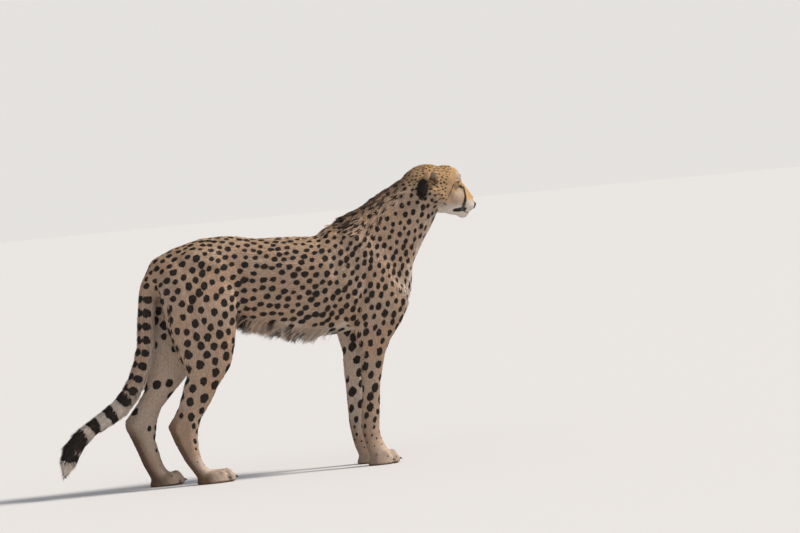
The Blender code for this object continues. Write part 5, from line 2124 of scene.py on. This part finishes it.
@dataclass
class Face:
    """The parts of the face that are not coat: eyes, nose leather and whiskers.

    Attributes:
        bulge: How far the cornea stands out.
        nose_at: The middle of the nose leather, in the head's axes.
        nose_half: Its half length, breadth and height.
        rings: Rings of points over an eye.
        around: Points in each.
    """

    bulge: float = 0.0010
    nose_at: Point = (0.2400, 0.0, 0.0085)
    nose_half: Point = (0.0128, 0.0176, 0.0130)
    rings: int = 56
    around: int = 64

    def eye(self, name: str, solid: str, side: float, finish: bpy.types.Material) -> bpy.types.Object:
        """Make one eye: a ball with a cornea that stands a little proud.

        The radius is r + bulge exp(-(a/0.5)^2), with a the angle from the gaze.

        Args:
            name: The piece's name.
            solid: The solid that it stands for.
            side: +1 for the left eye, -1 for the right one.
            finish: Its material.

        Returns:
            The piece.
        """
        angle = np.linspace(0.02, math.pi - 0.02, self.rings)[:, None]
        turn = circle(self.around)[None]
        across, upward, ahead = LIDS.axes(side)
        radius = (LIDS.radius + self.bulge * bell(angle, 0.5))[..., None]
        spoke = np.cos(turn)[..., None] * across + np.sin(turn)[..., None] * upward
        way = np.cos(angle)[..., None] * ahead + np.sin(angle)[..., None] * spoke
        piece = mesh_object(name, *closed_tube(LIDS.centre(side) + radius * way))
        store(piece.data, "angle", np.append(np.repeat(angle[:, 0], self.around), (0.0, math.pi)))
        wheel = np.abs(np.tile(turn[0], len(angle)) / math.pi - 1.0)
        store(piece.data, "turn", np.append(wheel, (0.0, 0.0)))
        return dress(piece, finish, [solid])

    def nose(self, finish: bpy.types.Material) -> bpy.types.Object:
        """Make the nose leather: a rounded wedge, broad above, with two nostrils.

        A ball of angles is stretched to the half sizes; its breadth shrinks
        smoothly downwards to 0.48 of itself, a groove runs down its middle,
        and each nostril is a comma pressed in beside it.

        Args:
            finish: Its material.

        Returns:
            The piece.
        """
        polar = np.linspace(0.03, math.pi - 0.03, 64)[:, None]
        turn = circle(96)[None]
        x = np.cos(polar) * np.ones_like(turn)
        y = np.sin(polar) * np.cos(turn)
        z = np.sin(polar) * np.sin(turn)
        y, z = (np.sign(v) * np.abs(v) ** 0.80 for v in (y, z))
        taper = 1.0 - 0.52 * smooth(-z, -0.75, 1.0)
        front = smooth(x, -0.1, 0.6)
        groove = 0.22 * bell(y, 0.10) * smooth(-z, -0.4, 0.2)
        comma = bell(np.hypot((np.abs(y) - 0.56) / 0.9, (z - 0.02 - 0.30 * (np.abs(y) - 0.56)) / 0.75), 0.26)
        slit = bell((z + 0.12 + 0.35 * (np.abs(y) - 0.7)) / 0.7, 0.15) * smooth(np.abs(y), 0.50, 0.80)
        x = x - front * (groove + 0.95 * comma + 0.60 * slit)
        x = x - 0.20 * smooth(-z, -0.1, 1.0) * front
        local = np.stack([x, y * taper, z], axis=-1) * np.array(self.nose_half) + np.array(self.nose_at)
        return dress(mesh_object("nose_leather", *closed_tube(HEAD.world(local))), finish, ["nose"])

    def whiskers(self, finish: bpy.types.Material) -> bpy.types.Object:
        """Make the whiskers: three-sided strands that taper as (1 - s) and sag."""
        chance = np.random.default_rng(21)
        s = np.linspace(0.0, 1.0, 9)
        strands = []
        for side in SIDES.values():
            for row, starts in enumerate(whisker_roots().reshape(4, 5, 3)):
                for k, start in enumerate(starts):
                    toward = np.array((0.10 - 0.20 * k, 0.95, 0.10 - 0.17 * row))
                    heading = unit(toward + chance.normal(0, 0.05, 3))
                    length = (0.034 + 0.0060 * k) * chance.uniform(0.85, 1.1)
                    strands.append((start, heading, length, side, 0.00028))
            for k in range(4):
                start = np.array((0.172 - 0.004 * k, 0.026 + 0.006 * k, 0.088 + 0.001 * k))
                heading = unit(np.array((0.45, 0.35 + 0.1 * k, 0.80)) + chance.normal(0, 0.06, 3))
                strands.append((start, heading, 0.026 * chance.uniform(0.8, 1.1), side, 0.00022))
        shapes = []
        for start, heading, length, side, thick in strands:
            path = start + heading * (length * s)[:, None]
            path[:, 2] -= 0.22 * length * s ** 2
            path[:, 0] -= 0.18 * length * s ** 2
            centre = HEAD.world(mirrored(path, side))
            way = unit(np.gradient(centre, axis=0))
            one = unit(np.cross(way, (0.0, 0.0, 1.0)))
            two = np.cross(way, one)
            half = thick * (1.0 - 0.92 * s)[:, None, None]
            turn = circle(3)[:, None]
            ring = np.cos(turn) * one[:, None] + np.sin(turn) * two[:, None]
            shapes.append(closed_tube(centre[:, None] + half * ring))
        piece = mesh_object("whiskers", *join(shapes))
        along = np.append(np.repeat(s, 3), (0.0, 1.0))
        store(piece.data, "along", np.tile(along, len(shapes)))
        return dress(piece, finish)


@dataclass
class Claws:
    """The sixteen claws: blunt horn hooks, drawn on the solids' own places.

    Attributes:
        rings: Rings of points along a claw.
        around: Points in each.
        curve: How far a claw bends down, in radians.
        radius: Its half height at the root.
        flat: Its breadth over its height.
    """

    rings: int = 12
    around: int = 14
    curve: float = math.radians(50.0)
    radius: float = 0.0031
    flat: float = 0.74

    def hook(self, name: str) -> tuple[Rows, Rows]:
        """Make one claw within the box of its solid.

        Its middle line turns down by the curve over its length; the oval
        section shrinks as (1 - s^1.8)^0.62.

        Args:
            name: The solid that it stands for.

        Returns:
            Points and triangles.
        """
        low, high = (np.array(corner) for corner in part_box(name))
        middle = 0.5 * (low[1] + high[1])
        s = np.linspace(0.0, 0.985, self.rings)
        length = (high[0] - low[0]) * 1.02
        start = np.array((low[0], middle, high[2] - self.radius * 1.05))
        angle = self.curve * s ** 1.2
        step = np.diff(s, prepend=0.0) * length * 1.16
        way = np.stack([np.cos(angle), 0.0 * s, -np.sin(angle)], axis=1)
        centre = start + np.cumsum(way * step[:, None], axis=0)
        size = self.radius * (1.0 - s ** 1.8) ** 0.62
        turn = circle(self.around)[None, :, None]
        up = np.stack([np.sin(angle), 0.0 * s, np.cos(angle)], axis=1)[:, None]
        across = np.array((0.0, 1.0, 0.0))
        half = size[:, None, None]
        rings = centre[:, None] + half * (np.cos(turn) * self.flat * across + np.sin(turn) * up)
        return closed_tube(rings)

    def build(self, names: Sequence[str], finish: bpy.types.Material) -> bpy.types.Object:
        """Make every claw as one piece."""
        return dress(mesh_object("claws", *join([self.hook(name) for name in names])), finish, names)


# -------------------------------------------------------------------- stage
@dataclass
class Studio:
    """A pale floor, soft lights and the camera.

    Attributes:
        floor_radii: Of the floor's rings.
        floor_colour: Its colour.
        sky_light: The light that the sky gives.
        sky_seen: How the sky looks to the camera.
        distance: From the camera to where the model stands.
        eye_height: The camera's height.
        azimuth: Its bearing from the model's side.
        roll: The slope that it takes up.
        lens: Its focal length, in millimetres.
        aim: Where it looks.
    """

    floor_radii: tuple[float, ...] = (0.5, 2.0, 8.0, 25.0, 60.0)
    floor_colour: Colour = (0.625, 0.610, 0.592)
    sky_light: Colour = (0.39, 0.41, 0.45)
    sky_seen: Colour = (0.78, 0.76, 0.74)
    distance: float = 15.0
    eye_height: float = 1.03
    azimuth: float = math.radians(-12.0)
    roll: float = math.radians(5.5)
    lens: float = 210.94
    aim: Point = (0.4216, -0.0829, 0.6255)

    def floor(self) -> bpy.types.Object:
        """Lay a disc of rings under the feet."""
        turns = circle(96)
        ring = np.stack([np.cos(turns), np.sin(turns), 0.0 * turns], axis=1)
        points = np.vstack([*(ring * radius for radius in self.floor_radii), [(0.0, 0.0, 0.0)]])
        row = np.arange(len(turns))
        middle = np.stack([np.full(len(turns), len(points) - 1), row, (row + 1) % len(turns)], axis=1)
        rings = sheet_faces(len(self.floor_radii), len(turns), True)[:, ::-1]
        disc = mesh_object("floor", points, np.vstack([middle, rings]), False)
        disc.data.materials.append(Finish("studio floor", self.floor_colour, 0.9, 0.2).start()[0])
        return disc

    def sun(self, name: str, heading: Point, strength: float, spread: float, colour: Colour) -> None:
        """Add a broad, even light that shines the same way all over the floor.

        Args:
            name: Its name.
            heading: Where it shines from.
            strength: Its strength.
            spread: How broad its source is, in degrees; a broad one has soft shadows.
            colour: Its colour.
        """
        data = bpy.data.lights.new(name, "SUN")
        data.energy = strength
        data.angle = math.radians(spread)
        data.color = colour
        lamp = bpy.data.objects.new(name, data)
        lamp.rotation_euler = Vector(heading).to_track_quat("Z", "Y").to_euler()
        bpy.context.scene.collection.objects.link(lamp)

    def lights(self) -> None:
        """Set a key from ahead and above, a fill from the near side, and a pale sky."""
        self.sun("key light", (0.92, -0.18, 0.98), 3.90, 12.0, (1.0, 0.95, 0.89))
        self.sun("fill light", (-0.35, -1.0, 0.55), 0.34, 60.0, (1.0, 0.98, 0.96))
        world = bpy.data.worlds.new("studio")
        world.use_nodes = True
        nodes = Nodes(world.node_tree)
        seen = nodes.add("ShaderNodeLightPath").outputs["Is Camera Ray"]
        nodes.feed(nodes.tree.nodes["Background"], Color=nodes.blend(seen, self.sky_light, self.sky_seen))
        bpy.context.scene.world = world

    def camera(self) -> None:
        """Place a long lens, level with the shoulder and rolled with the ground's slope."""
        data = bpy.data.cameras.new("camera")
        data.lens = self.lens
        data.sensor_width = 36.0
        data.clip_end = 500.0
        away = Vector((math.sin(self.azimuth), -math.cos(self.azimuth), 0.0))
        place = Vector(ORIGIN) + away * self.distance + Vector((0.0, 0.0, self.eye_height))
        look = (Vector(self.aim) - place).normalized()
        level = Vector((math.cos(self.azimuth), math.sin(self.azimuth), 0.0))
        right = level * math.cos(self.roll) - Vector((0.0, 0.0, 1.0)) * math.sin(self.roll)
        right = (right - look * right.dot(look)).normalized()
        up = right.cross(look)
        camera = bpy.data.objects.new("camera", data)
        camera.matrix_world = Matrix.Translation(place) @ Matrix((right, up, -look)).transposed().to_4x4()
        bpy.context.scene.collection.objects.link(camera)
        bpy.context.scene.camera = camera

    def build(self) -> None:
        """Set up the whole studio."""
        self.floor()
        self.lights()
        self.camera()
        bpy.context.scene.view_settings.view_transform = "Standard"
        bpy.context.scene.view_settings.look = "None"


# --------------------------------------------------------------------- main
def main() -> None:
    """Build the studio, the skin, the coat and the face."""
    Studio().build()
    names = sorted(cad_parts)
    claws = [name for name in names if name.startswith("claw")]
    ears = [name for name in names if name.startswith("ear")]
    flesh = [name for name in names if name not in claws + ears + ["nose"]]
    skin = Skin()
    surface = skin.grow(flesh)
    markings = Markings(surface, skin)
    markings.paint()

    colours = CoatColour().group()
    hide = HairFinish("skin under the coat", roughness=0.80, shine=0.15).make(colours, True)
    dress(skin.thing, hide, [name for name in flesh + ears if not name.startswith("eye")])

    hair = HairFinish("coat hair", roughness=0.62, shine=0.22).make(colours, False)
    barber = Barber(surface, markings, hair)
    barber.short_coat()
    barber.long_hair()

    face = Face()
    wet = EyeFinish("eye", roughness=0.25, shine=0.5).make()
    for name, side in SIDES.items():
        face.eye(f"eyeball_{name}", f"eye_{name}", side, wet)
    face.nose(LeatherFinish("nose leather", (0.014, 0.011, 0.010), 0.42, 0.4).make())
    face.whiskers(WhiskerFinish("whisker hair", (0.80, 0.76, 0.70), 0.45, 0.4).make())
    Claws().build(claws, HornFinish("claw horn", (0.030, 0.022, 0.017), 0.40, 0.4).make())


if __name__ == "__main__":
    main()
